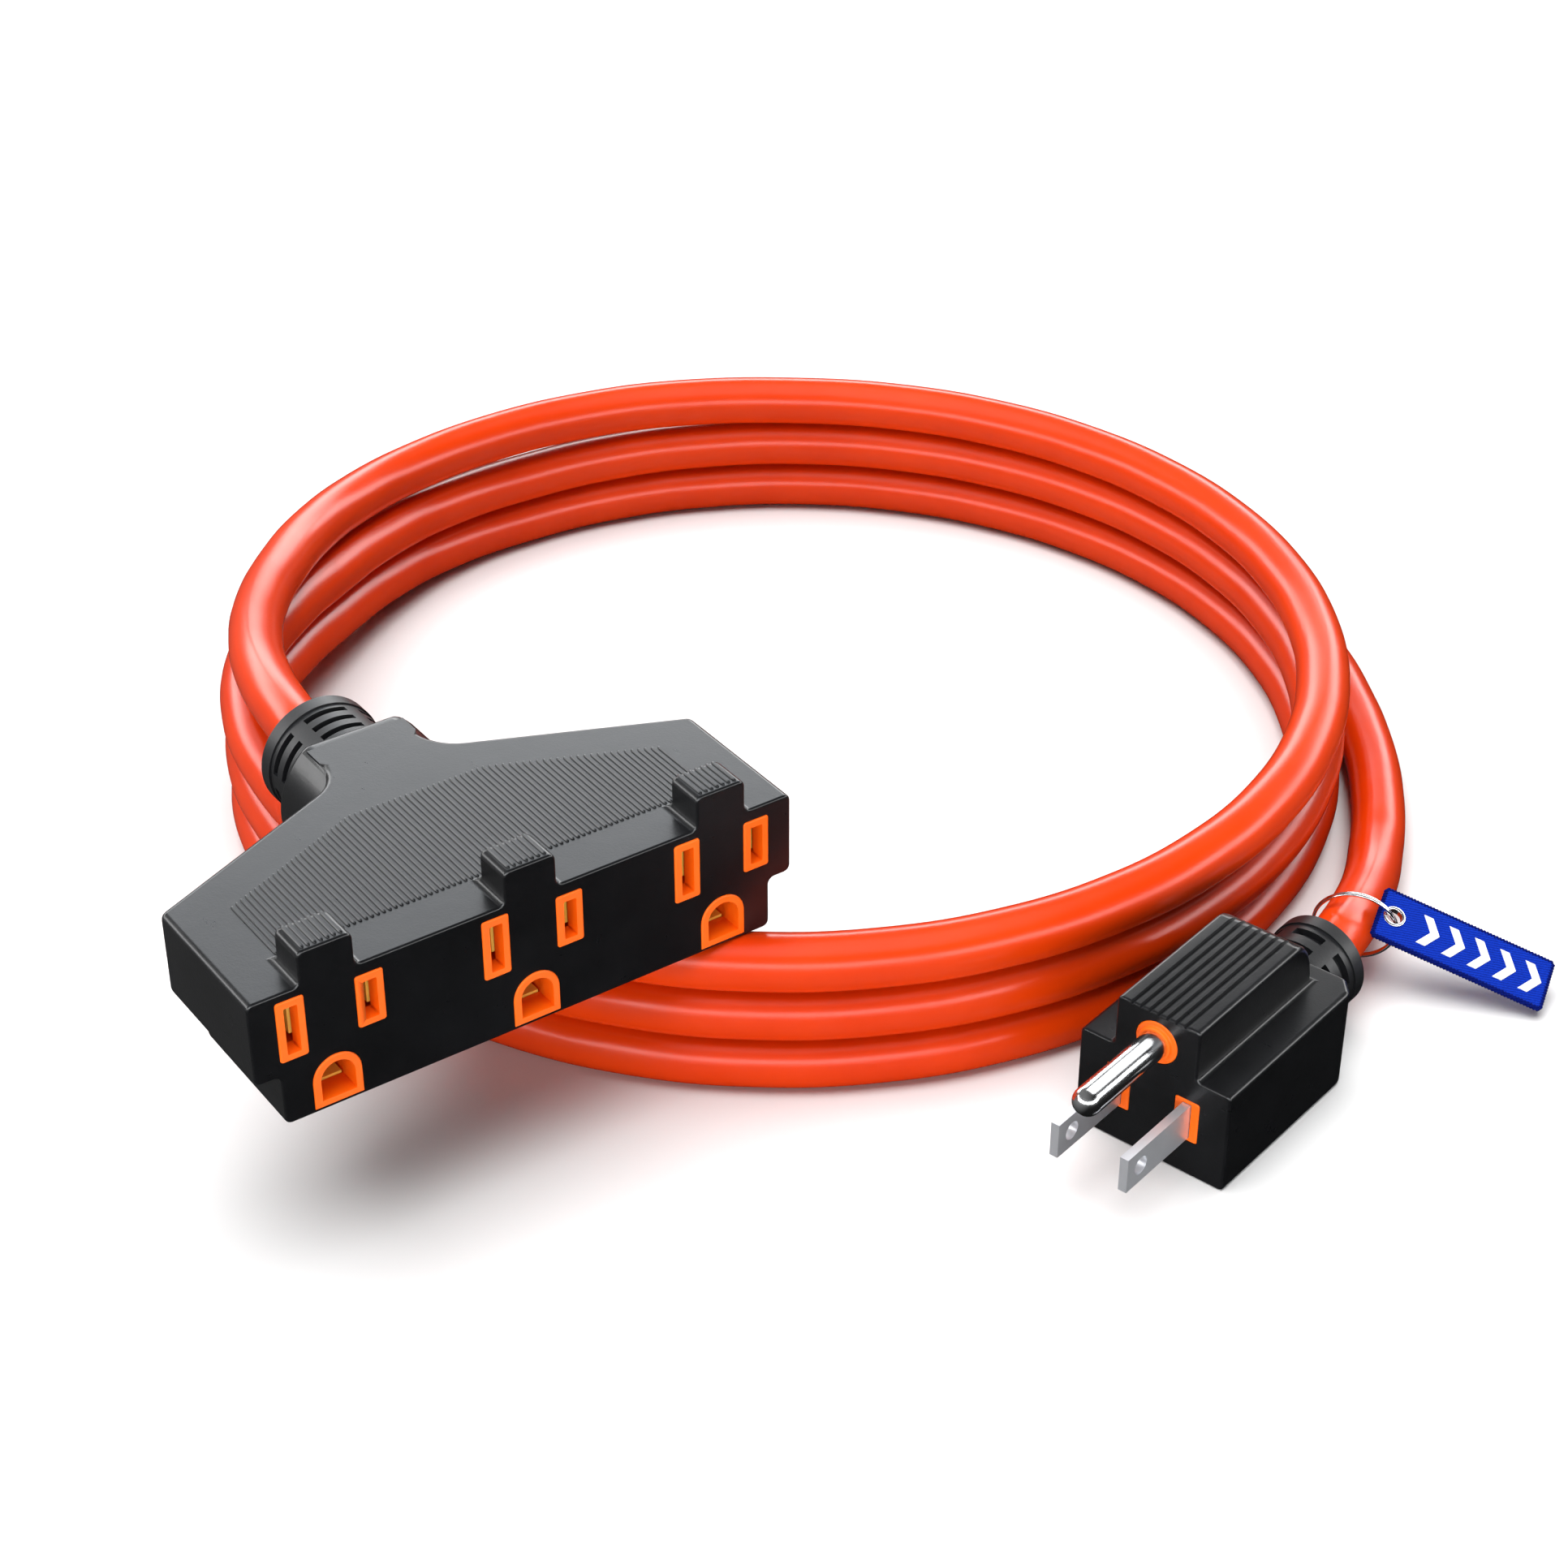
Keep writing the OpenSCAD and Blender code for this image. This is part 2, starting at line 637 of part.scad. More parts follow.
module plug_core(x, z, a) {
    core_between([x, plug_insert_end - over / 2, z],
                 [core_ring * cos(a), plug_wiring_end, plug_axis_z + core_ring * sin(a)]);
}

module plug_line_core() color("#222222") at_plug() plug_core(blade_x, 0, -30);
module plug_neutral_core() color("#f0f0ec") at_plug() plug_core(-blade_x, 0, 210);
module plug_ground_core() color("#1f8a44") at_plug() plug_core(0, ground_drop, 90);

// Split ring of two turns of wire, which passes through the eyelet
module tag_ring() color("#dfe2e6")
    translate(eyelet_at)
        rotate([ring_lean, -ring_rise, ring_yaw])
            translate([-ring_r, 0, 0])
                rotate([90, 0, 0])
                    rotate_extrude()
                        for (s = [-1, 1])
                            translate([ring_r, s * wire_pitch / 2]) circle(d = wire_d);

// Rectangle of the tag's face with the eyelet at the origin, shrunk on all sides
module tag_face(shrink) {
    translate([shrink - eyelet_inset, shrink - tag_w / 2])
        square([tag_len - 2 * shrink, tag_w - 2 * shrink]);
}

module tag_patch() color("#1638b8") at_tag()
    translate([0, 0, -patch_t / 2])
        linear_extrude(patch_t)
            difference() {
                tag_face(border_w + gap);
                circle(eyelet_hole_r + eyelet_wall + gap);
            }

module tag_border() color("#0f1f7a") at_tag()
    translate([0, 0, -border_t / 2])
        linear_extrude(border_t)
            difference() {
                tag_face(0);
                tag_face(border_w);
            }

// Rolled eyelet: a barrel with a flange over each side of the patch
module tag_eyelet() color("#c9ccd0") at_tag()
    rotate_extrude()
        difference() {
            translate([eyelet_hole_r, -patch_t / 2 - eyelet_wall])
                square([eyelet_r - eyelet_hole_r, patch_t + 2 * eyelet_wall]);
            translate([eyelet_hole_r + eyelet_wall, -patch_t / 2 - gap]) square([over, patch_t + 2 * gap]);
        }

connector_shell();
connector_strain_relief();
outlet_insert();
insert_rear_cover();
line_bus_bar();
neutral_bus_bar();
ground_bus_bar();
line_contacts();
neutral_contacts();
ground_contacts();
connector_crimps();
connector_line_core();
connector_neutral_core();
connector_ground_core();
connector_lead();
cord_coil();
plug_lead();
plug_shell();
plug_strain_relief();
plug_insert();
line_blade();
neutral_blade();
ground_pin();
plug_crimps();
plug_line_core();
plug_neutral_core();
plug_ground_core();
tag_ring();
tag_patch();
tag_border();
tag_eyelet();
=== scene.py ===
"""Looks of the coiled extension cord: one continuous cord, the connector, the plug and the tag.

Shapes are built in the row frame: millimetres while building, metres when a piece is done.
"""

import json
import math

import bmesh
import bpy
from mathutils import Euler, Matrix, Vector

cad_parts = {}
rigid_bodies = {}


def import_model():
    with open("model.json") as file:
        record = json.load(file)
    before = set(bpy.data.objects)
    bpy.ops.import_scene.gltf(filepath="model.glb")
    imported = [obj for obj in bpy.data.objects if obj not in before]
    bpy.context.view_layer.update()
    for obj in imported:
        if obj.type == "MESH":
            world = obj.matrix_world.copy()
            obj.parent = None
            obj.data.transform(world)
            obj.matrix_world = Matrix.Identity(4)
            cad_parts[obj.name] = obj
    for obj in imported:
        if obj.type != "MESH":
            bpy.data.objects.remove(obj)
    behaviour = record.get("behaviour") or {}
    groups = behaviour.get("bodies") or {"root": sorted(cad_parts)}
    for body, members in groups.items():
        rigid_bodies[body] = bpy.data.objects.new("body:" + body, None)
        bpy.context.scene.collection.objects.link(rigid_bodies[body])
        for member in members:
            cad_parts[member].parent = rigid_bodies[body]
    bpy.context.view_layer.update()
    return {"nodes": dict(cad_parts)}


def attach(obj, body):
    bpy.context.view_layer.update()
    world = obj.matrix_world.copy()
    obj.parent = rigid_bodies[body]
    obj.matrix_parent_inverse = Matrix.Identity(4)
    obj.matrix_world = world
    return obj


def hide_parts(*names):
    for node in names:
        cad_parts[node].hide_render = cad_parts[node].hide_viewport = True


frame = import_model()
MM = 0.001

# ------------------------------------------------------ sizes, in millimetres

GAP = 0.05                # play between pieces that are moulded together
OVER = 1.0                # how far a cutting solid runs past the surface that it cuts

CORD_R = 4.8
CORD_D = 2 * CORD_R
COIL_C = (99.0, 76.0)     # middle of the coil
COIL_R = 98.0
LEVELS = 3                # stacked turns

CONN_TOP = 6.7
CONN_BASE = -16.6
FLOOR = CONN_BASE - LEVELS * CORD_D
CONN_HALF = 46.6
CONN_SIDE_D = 27.6        # depth of the straight ends
REAR_SLOPE = math.radians(23.6)
PLINTH_TOP = -7.7
PLINTH_STEP = 4.1         # how far the plinth stands back at each end
PLINTH_NECK_HALF = 5.0
NECK_START = 40.0         # depth at which the neck's bulge begins, inside the housing
NECK_END = 55.6
NECK_HALF = 8.6
NECK_FILLET = 8.0
NECK_R = 13.6
CONN_AXIS_Z = -4.2        # height of the cord where it leaves the connector
SLEEVE_R = 6.4            # sleeve of each strain relief, inside its housing
SLEEVE_LEN = 8.0
SKIN = 1.6                # thickness of each housing in front of its insert
SOFT_EDGE = 1.1           # rounding of the connector's edges
FACE_EDGE = 0.45          # rounding of the edges round the outlet face

OUTLET_PITCH = 33.7
OUTLETS = (-OUTLET_PITCH, 0.0, OUTLET_PITCH)
BLADE_X = 6.35            # distance of each blade and slot from the middle
GROUND_DROP = 11.9        # distance from the blades' line to the ground pin
SLOT_W = 2.2
NEUTRAL_SLOT_H = 8.2
LINE_SLOT_H = 6.8
GROUND_HOLE_HALF = 2.8
GROUND_ARCH_Z = 0.6
RIM = 1.2                 # width of the coloured rim round each hole
RIM_FRONT = -0.25         # how far the rims stand out of the face
INSERT_TOP = 5.2
INSERT_HALF = 44.4
INSERT_STEP_Z = -5.6
INSERT_FOOT_HALF = 40.9
INSERT_BASE = -15.3
COVER_END = 21.7
WIRING_HALF = 10.0        # space for the conductors behind the insert
WIRING_BASE = -14.2
WIRING_END = 36.0
LEAD_BORE = (35.0, 49.0)  # depths between which the cord runs in the bare housing

TAB_HALF = 4.45
TAB_DEPTH = 7.5
TAB_TOP = 12.5            # height of each tab under its ribs
TAB_RIBS = 7
TAB_RIB_PITCH = 1.03
FIELD_RIB_PITCH = 0.98
FIELD_RIBS_ASIDE = 38     # ribs of the field to each side of the middle one
FIELD_START = 8.6
FIELD_END = 34.0          # depth of the field across its middle
FIELD_SIDE_END = 22.6     # depth of the field at its outermost ribs
FIELD_FLAT_HALF = 12.0    # half the width over which the field has its full depth
FIELD_SLOPE_HALF = 38.0

PLUG_AT = (78.5, -51.8)
PLUG_TURN = math.radians(-75)
PLUG_BASE = 10.5
PLUG_Z = FLOOR + PLUG_BASE
PLUG_HALF = 13.9
PLUG_D = 37.5
PLUG_END = 49.5           # end of the strain relief
PLUG_AXIS_Z = -0.9        # height of the cord above the blades' centre line
PLUG_CHAMFER = (2.5, 3.0)
SHOULDER_TOP = 8.0
BLOCK_HALF = 7.6
BLOCK_TOP = 17.3
BLOCK_D = 27.5
BLOCK_SLOPE = 5.5         # length of the middle block's rounded rear
PLUG_GROOVE_PITCH = 1.62
PLUG_GROOVES_ASIDE = 3    # grooves to each side of the middle one
PLUG_FOOT = (21.8, 12.8)  # width and height of the insert round the blades
PLUG_UPRIGHT = (10.8, 16.0)
PLUG_INSERT_END = 20.0
PLUG_WIRING_HALF = (9.0, 6.0)
PLUG_WIRING_END = 30.0
PAD = (4.5, 7.8)          # coloured pad round each blade
PAD_CORNER = 0.45
PAD_FRONT = -0.1
PAD_R = 3.8               # coloured disc round the ground pin
COLLAR_R = 2.9
COLLAR_FRONT = -0.8
BLADE_SLOT = (1.7, 6.6)
PIN_BORE_R = 2.15

EYELET_AT = Vector((141.6, -40.1, FLOOR + 12.4))
RING_TURN = Euler([math.radians(a) for a in (8, -25, -55)]).to_matrix().to_4x4()
TAG_TURN = Euler([math.radians(a) for a in (20, 18.5, -51.5)]).to_matrix().to_4x4()
RING_R = 6.9
WIRE_R = 0.3
TAG_LEN = 31.0
TAG_W = 10.5
PATCH_T = 0.8
EYELET_INSET = 2.95
EYELET_HOLE_R = 1.6
BORDER_W = 0.9

AT_PLUG = Matrix.Translation((*PLUG_AT, PLUG_Z)) @ Matrix.Rotation(PLUG_TURN, 4, "Z")
AT_TAG = Matrix.Translation(EYELET_AT) @ TAG_TURN
AT_RING = Matrix.Translation(EYELET_AT) @ RING_TURN


# ------------------------------------------------------ camera

def make_camera():
    """The photograph's viewpoint: above the left end of the connector, looking down at the coil."""
    data = bpy.data.cameras.new("camera")
    data.sensor_width = 36.0
    data.lens = 71.4
    data.clip_start = 0.01
    camera = bpy.data.objects.new("camera", data)
    bpy.context.scene.collection.objects.link(camera)
    camera.location = (-0.1836, -0.3245, 0.2731)
    look = Vector((0.4801, 0.6804, -0.5538))
    camera.rotation_euler = look.to_track_quat("-Z", "Y").to_euler()
    bpy.context.scene.camera = camera


make_camera()

# ------------------------------------------------------ the cord's route

# Route points that aren't coiled: x, y, height of the cord's middle above the floor
CONN_ROUTE = [(0, 44, 41.2), (0, 52, 41.2), (0, 60, 41.2), (0, 68, 41.2), (1, 78, 41),
              (4.5, 95.5, 39.5), (11, 112.3, 37), (20, 127.8, 34.2), (30.8, 141.5, 31.6),
              (43.4, 153.9, 29.4), (57.6, 163.7, 27.6)]
PLUG_ROUTE = [(136.5, -34.4, 9), (144, -30, 7.5), (154, -23, 5.5), (161, -17, 4.8),
              (167.5, -11, 4.8), (174, -4, 4.8), (180, 3.2, 4.8), (185.4, 10.9, 4.8)]
# Depths in the plug of the route's last points
PLUG_DEPTHS = (PLUG_END, 44.0, 38.0)

# Angles round the coil, in degrees, and heights of the cord's middle
SETTLE_ANGLES = (104, 92, 80, 68)      # where the cord from the connector sinks onto the stack
SETTLE_RISE = 2.2     # how high over the stack it is at the first of them
TURN_START = 52       # where it lies on the stack
TURN_STEP = 12
STACK_TOP = (LEVELS - 0.5) * CORD_D    # height of the top turn
CROSS_START = 144.8   # angle at which each turn starts to drop to the next level
CROSS_SPAN = 50.0     # angle that the drop takes
CROSS_EASE = 0.06     # how far ahead of a straight line the drop runs, in levels
DENT_ANGLE = 127.0    # where the turns lie further in, beside the cord from the connector
DENT_SPAN = 34.0      # angle to each side in which they come back
DENT = 4.4
TURN_PLAY = 1.01      # keeps the outermost turn just clear of the one above
EXIT_ANGLE = -32.0    # angle at which the outermost turn leaves for the plug


def turn_point(angle, radius, height):
    """A route point on the coil."""
    a = math.radians(angle)
    return (COIL_C[0] + radius * math.cos(a), COIL_C[1] + radius * math.sin(a), height)


def stack_radius(angle):
    """Radius of the stacked turns, which lie further in beside the cord from the connector."""
    if angle > CROSS_START - 180:
        return COIL_R
    away = abs((angle - DENT_ANGLE + 180) % 360 - 180)
    return COIL_R - DENT * (1 + math.cos(math.pi * min(1.0, away / DENT_SPAN))) / 2


def drop(angle):
    """Radius and height of the winding, which turns clockwise through falling angles."""
    radius = stack_radius(angle)
    start = CROSS_START - 360
    turns_done = max(0.0, (start - angle) / 360)
    level = int(turns_done)
    part = min(1.0, (turns_done - level) * 360 / CROSS_SPAN) if angle <= start else 0.0
    eased = part + CROSS_EASE * math.sin(math.pi * part)
    height = STACK_TOP - (level + eased) * CORD_D
    if level < LEVELS - 1:
        return radius, height
    over_last = CORD_D * (1 - eased)
    return radius + math.sqrt(max(0.0, CORD_D ** 2 - over_last ** 2)) * TURN_PLAY, CORD_R


def winding():
    """All turns of the coil in even steps, from the top turn to the outermost."""
    last = EXIT_ANGLE - 360 * LEVELS
    steps = round((TURN_START - last) / TURN_STEP)
    points = []
    for i in range(steps + 1):
        angle = TURN_START + (last - TURN_START) * i / steps
        radius, height = drop(angle)
        points.append(turn_point(angle, radius, height))
    return points


def plug_point(u, v, z):
    """A route point given across the plug, along it and above its blades' centre line."""
    p = AT_PLUG @ Vector((u, v, z))
    return (p.x, p.y, p.z - FLOOR)


def settling():
    """Where the cord from the connector sinks onto the stack."""
    points = []
    for angle in SETTLE_ANGLES:
        rise = SETTLE_RISE * (angle - TURN_START) / (SETTLE_ANGLES[0] - TURN_START)
        points.append(turn_point(angle, COIL_R, STACK_TOP + rise))
    return points


def cord_points():
    """The whole route, from the connector to the plug."""
    plug_exit = [plug_point(0, v, PLUG_AXIS_Z) for v in PLUG_DEPTHS]
    route = CONN_ROUTE + settling() + winding() + PLUG_ROUTE[::-1] + plug_exit
    return [Vector((x, y, h + FLOOR)) * MM for x, y, h in route]


def curve_object(name, points, radius, resolution=6, roundness=6):
    """A round tube along a smooth curve through the points, in metres."""
    curve = bpy.data.curves.new(name, "CURVE")
    curve.dimensions = "3D"
    curve.bevel_depth = radius
    curve.bevel_resolution = roundness
    curve.resolution_u = resolution
    curve.use_fill_caps = True
    spline = curve.splines.new("BEZIER")
    spline.bezier_points.add(len(points) - 1)
    for knot, p in zip(spline.bezier_points, points):
        knot.co = p
        knot.handle_left_type = "AUTO"
        knot.handle_right_type = "AUTO"
    piece = bpy.data.objects.new(name, curve)
    bpy.context.scene.collection.objects.link(piece)
    return piece


ROUTE = cord_points()
cord = curve_object("cord", ROUTE, CORD_R * MM, resolution=8, roundness=10)


# ------------------------------------------------------ materials

CLOUD_BUMP = 0.00006       # metres, like the next
BRUSH_BUMP = 0.000008
YARN_SCALE = 5200
TWILL_RIBS = 3.5           # turns the pitch of a twill rib into the wave texture's scale


class Nodes:
    """Short calls for one material's node tree."""

    def __init__(self, name):
        self.material = bpy.data.materials.new(name)
        self.material.use_nodes = True
        self.tree = self.material.node_tree
        self.shader = self.tree.nodes["Principled BSDF"]
        self.place = self.add("ShaderNodeTexCoord").outputs["Object"]

    def add(self, kind, **values):
        node = self.tree.nodes.new(kind)
        for key, value in values.items():
            setattr(node, key, value)
        return node

    def link(self, out, into):
        self.tree.links.new(out, into)

    def stretched(self, scale):
        mapping = self.add("ShaderNodeMapping")
        mapping.inputs["Scale"].default_value = scale
        self.link(self.place, mapping.inputs["Vector"])
        return mapping.outputs["Vector"]

    def noise(self, scale, detail=3.0, rough=0.5, vector=None):
        node = self.add("ShaderNodeTexNoise")
        node.inputs["Scale"].default_value = scale
        node.inputs["Detail"].default_value = detail
        node.inputs["Roughness"].default_value = rough
        self.link(vector or self.place, node.inputs["Vector"])
        return node.outputs["Fac"]

    def two_tone(self, fac, dark, light, low=0.3, high=0.7):
        """A colour that goes from dark to light as the texture goes from low to high."""
        node = self.add("ShaderNodeValToRGB")
        for element, position, colour in zip(node.color_ramp.elements, (low, high), (dark, light)):
            element.position = position
            element.color = (*colour, 1)
        self.link(fac, node.inputs["Fac"])
        return node.outputs["Color"]

    def span(self, fac, low, high):
        node = self.add("ShaderNodeMapRange")
        node.inputs["To Min"].default_value = low
        node.inputs["To Max"].default_value = high
        self.link(fac, node.inputs["Value"])
        return node.outputs["Result"]

    def bump(self, height, distance, below=None):
        node = self.add("ShaderNodeBump")
        node.inputs["Strength"].default_value = 1.0
        node.inputs["Distance"].default_value = distance
        self.link(height, node.inputs["Height"])
        if below:
            self.link(below, node.inputs["Normal"])
        return node.outputs["Normal"]

    def paint(self, colour=None, rough=None, normal=None, **fixed):
        for name, out in (("Base Color", colour), ("Roughness", rough), ("Normal", normal)):
            if out:
                self.link(out, self.shader.inputs[name])
        for name, value in fixed.items():
            self.shader.inputs[name.replace("_", " ")].default_value = value
        return self.material


def moulded(name, dark, light, rough, grain, specular=0.5):
    """Moulded plastic: cloudy colour, fine spark-eroded grain of a depth in metres, uneven gloss."""
    n = Nodes(name)
    cloud = n.noise(scale=60, detail=5, rough=0.6)
    fine = n.noise(scale=2600, detail=2)
    scuff = n.noise(scale=420, detail=6, rough=0.7, vector=n.stretched((1, 0.25, 1)))
    return n.paint(
        colour=n.two_tone(cloud, dark, light),
        rough=n.span(scuff, *rough),
        normal=n.bump(fine, grain, below=n.bump(cloud, CLOUD_BUMP)),
        Specular_IOR_Level=specular,
    )


def metal(name, dark, light, rough, brush, metallic=1.0):
    """Bare or plated metal with a faint brushed grain; less metallic makes part of its colour diffuse,
    which the brighter copies use as painted light on the blades and the contacts.
    """
    n = Nodes(name)
    streak = n.noise(scale=900, detail=4, rough=0.6, vector=n.stretched(brush))
    patch = n.noise(scale=120, detail=3)
    return n.paint(
        colour=n.two_tone(patch, dark, light),
        rough=n.span(streak, *rough),
        normal=n.bump(streak, BRUSH_BUMP),
        Metallic=metallic,
    )


def jacket(name, dark, light, rough, grain, specular):
    """Satin vinyl of the cord, with faint extrusion unevenness."""
    n = Nodes(name)
    cloud = n.noise(scale=35, detail=4, rough=0.55)
    fine = n.noise(scale=1800, detail=3)
    smear = n.noise(scale=240, detail=5, rough=0.65)
    return n.paint(
        colour=n.two_tone(cloud, dark, light),
        rough=n.span(smear, *rough),
        normal=n.bump(fine, grain, below=n.bump(cloud, CLOUD_BUMP)),
        Specular_IOR_Level=specular,
    )


def woven(name, dark, light, pitch, depth):
    """Woven thread: a diagonal twill rib with uneven yarn. Pitch and depth are in metres."""
    n = Nodes(name)
    twill = n.add("ShaderNodeTexWave", wave_type="BANDS", bands_direction="DIAGONAL")
    twill.inputs["Scale"].default_value = 1 / (pitch * TWILL_RIBS)
    twill.inputs["Distortion"].default_value = 1.2
    twill.inputs["Detail"].default_value = 2
    twill.inputs["Detail Scale"].default_value = 3
    n.link(n.place, twill.inputs["Vector"])
    yarn = n.noise(scale=YARN_SCALE, detail=2)
    mix = n.add("ShaderNodeMix", data_type="RGBA")
    mix.inputs["Factor"].default_value = 0.5
    n.link(n.two_tone(twill.outputs["Fac"], dark, light, low=0.2, high=0.8), mix.inputs["A"])
    n.link(n.two_tone(yarn, dark, light), mix.inputs["B"])
    return n.paint(
        colour=mix.outputs["Result"],
        rough=n.span(yarn, 0.7, 0.95),
        normal=n.bump(twill.outputs["Fac"], depth, below=n.bump(yarn, depth / 2)),
        Sheen_Weight=0.02,
        Sheen_Roughness=0.4,
        Specular_IOR_Level=0.03,
    )


ALONG_X = (0.08, 1, 1)     # brushed grain that runs along X
ALONG_Y = (1, 0.08, 1)
ANY_WAY = (1, 1, 1)

MATERIALS = {
    "black_plastic": moulded(
        "black_plastic", dark=(0.0025, 0.0026, 0.003), light=(0.005, 0.0052, 0.006),
        rough=(0.24, 0.34), grain=0.000012),
    "strain_relief_rubber": moulded(
        "strain_relief_rubber", dark=(0.004, 0.0042, 0.0048), light=(0.008, 0.0083, 0.0095),
        rough=(0.36, 0.5), grain=0.000012),
    "orange_plastic": moulded(
        "orange_plastic", dark=(0.88, 0.115, 0.001), light=(0.97, 0.14, 0.003),
        rough=(0.35, 0.5), grain=0.000008, specular=0.25),
    "black_insulation": moulded(
        "black_insulation", dark=(0.01, 0.01, 0.01), light=(0.02, 0.02, 0.02),
        rough=(0.3, 0.4), grain=0.000005),
    "white_insulation": moulded(
        "white_insulation", dark=(0.75, 0.75, 0.72), light=(0.85, 0.85, 0.82),
        rough=(0.3, 0.4), grain=0.000005),
    "green_insulation": moulded(
        "green_insulation", dark=(0.01, 0.22, 0.05), light=(0.02, 0.3, 0.08),
        rough=(0.3, 0.4), grain=0.000005),
    "brass": metal(
        "brass", dark=(0.7, 0.43, 0.12), light=(0.86, 0.6, 0.22), rough=(0.22, 0.38),
        brush=ALONG_Y),
    "nickel_plate": metal(
        "nickel_plate", dark=(0.66, 0.67, 0.69), light=(0.78, 0.79, 0.8), rough=(0.12, 0.22),
        brush=ALONG_X),
    "ring_steel": metal(
        "ring_steel", dark=(0.7, 0.7, 0.72), light=(0.82, 0.82, 0.84), rough=(0.08, 0.18),
        brush=ANY_WAY),
    "cord_jacket": jacket(
        "cord_jacket", dark=(0.6, 0.032, 0.0005), light=(0.68, 0.043, 0.001),
        rough=(0.2, 0.29), grain=0.000008, specular=0.38),
    "blue_twill": woven(
        "blue_twill", dark=(0.002, 0.012, 0.17), light=(0.005, 0.034, 0.42),
        pitch=0.00035, depth=0.00006),
    "navy_thread": woven(
        "navy_thread", dark=(0.001, 0.003, 0.06), light=(0.002, 0.009, 0.15),
        pitch=0.00025, depth=0.00008),
}
# Painted light: a brighter yellow, mostly diffuse copy of the brass for the contacts, so that they look
# lit inside the outlets' holes
PAINTED_LIT_BRASS = metal("painted_lit_brass", dark=(0.95, 0.66, 0.08), light=(1.0, 0.8, 0.16),
                    rough=(0.3, 0.45), brush=ALONG_Y, metallic=0.25)
# Painted light: a lighter, partly diffuse copy of the nickel plate for the blades, so that the lamps
# light their sides in place of the reflections that their gloss doesn't find
PAINTED_LIT_NICKEL = metal("painted_lit_nickel", dark=(0.74, 0.76, 0.8), light=(0.82, 0.84, 0.88),
                     rough=(0.38, 0.44), brush=ALONG_X, metallic=0.78)
WHITE_THREAD = woven("white_thread", dark=(0.7, 0.7, 0.7), light=(0.9, 0.9, 0.9),
                     pitch=0.0003, depth=0.00006)


# ------------------------------------------------------ mesh kit, in millimetres

MERGE = 0.002                     # points closer together than this become one
SHARP = math.radians(28)          # an edge that turns more than this is rounded
FLAT = math.radians(0.5)          # faces that turn less than this are one face
ROUND_SIDES = 64

# Where a prism's outline and length lie, for each axis
ORDERS = {
    "Z": lambda a, b, c: (a, b, c),
    "Y": lambda a, b, c: (a, c, b),
    "X": lambda a, b, c: (c, a, b),
}


def link_mesh(name, mesh):
    piece = bpy.data.objects.new(name, mesh)
    bpy.context.scene.collection.objects.link(piece)
    return piece


def from_bmesh(name, bm):
    bmesh.ops.recalc_face_normals(bm, faces=bm.faces)
    mesh = bpy.data.meshes.new(name)
    bm.to_mesh(mesh)
    bm.free()
    return link_mesh(name, mesh)


def bridge(bm, near, far):
    """Faces between two closed loops of as many points."""
    count = len(near)
    for i in range(count):
        j = (i + 1) % count
        bm.faces.new((near[i], near[j], far[j], far[i]))


def prism(outline, low, high, axis="Z"):
    """A closed prism over an outline. Along Z the outline lies in X and Y, along Y in X and Z,
    and along X in Y and Z."""
    order = ORDERS[axis]
    bm = bmesh.new()
    bottom = [bm.verts.new(order(a, b, low)) for a, b in outline]
    top = [bm.verts.new(order(a, b, high)) for a, b in outline]
    bm.faces.new(bottom)
    bm.faces.new(top)
    bridge(bm, bottom, top)
    return bm


def box_bm(low, high):
    outline = [(low[0], low[1]), (high[0], low[1]), (high[0], high[1]), (low[0], high[1])]
    return prism(outline, low[2], high[2])


def circle(x, z, radius, sides=ROUND_SIDES):
    turns = [math.tau * k / sides for k in range(sides)]
    return [(x + radius * math.cos(a), z + radius * math.sin(a)) for a in turns]


def rod_bm(x, z, radius, start, end):
    """A rod along Y."""
    return prism(circle(x, z, radius), start, end, "Y")


def turned_bm(x, z, profile):
    """A solid turned about an axis along Y, from (radius, y) points that start and end on it."""
    bm = bmesh.new()
    first = bm.verts.new((x, profile[0][1], z))
    last = bm.verts.new((x, profile[-1][1], z))
    rings = []
    for radius, y in profile[1:-1]:
        rings.append([bm.verts.new((a, y, b)) for a, b in circle(x, z, radius)])
    for k in range(ROUND_SIDES):
        j = (k + 1) % ROUND_SIDES
        bm.faces.new((first, rings[0][j], rings[0][k]))
        bm.faces.new((last, rings[-1][k], rings[-1][j]))
        for near, far in zip(rings, rings[1:]):
            bm.faces.new((near[k], near[j], far[j], far[k]))
    return bm


def joined(*parts):
    """One bmesh holding several separate closed solids."""
    whole = parts[0]
    for part in parts[1:]:
        mesh = bpy.data.meshes.new("part")
        part.to_mesh(mesh)
        part.free()
        whole.from_mesh(mesh)
        bpy.data.meshes.remove(mesh)
    return whole


def applied(piece):
    """Turns a piece's modifiers into its mesh."""
    bpy.context.view_layer.update()
    evaluated = piece.evaluated_get(bpy.context.evaluated_depsgraph_get())
    result = bpy.data.meshes.new_from_object(evaluated)
    piece.modifiers.clear()
    piece.data = result


def combine(piece, solid, operation):
    """Boolean of a piece with another piece, or with the solids in a bmesh."""
    other = from_bmesh("tool", solid) if isinstance(solid, bmesh.types.BMesh) else solid
    change = piece.modifiers.new("boolean", "BOOLEAN")
    change.object = other
    change.operation = operation
    change.solver = "EXACT"
    applied(piece)
    bpy.data.objects.remove(other)


def add(piece, solid):
    combine(piece, solid, "UNION")


def cut(piece, solid):
    combine(piece, solid, "DIFFERENCE")


def clean(piece):
    """Joins the flat faces that booleans split."""
    bm = bmesh.new()
    bm.from_mesh(piece.data)
    bmesh.ops.remove_doubles(bm, verts=bm.verts, dist=MERGE)
    bmesh.ops.dissolve_limit(bm, angle_limit=FLAT, verts=bm.verts, edges=bm.edges)
    bm.to_mesh(piece.data)
    bm.free()


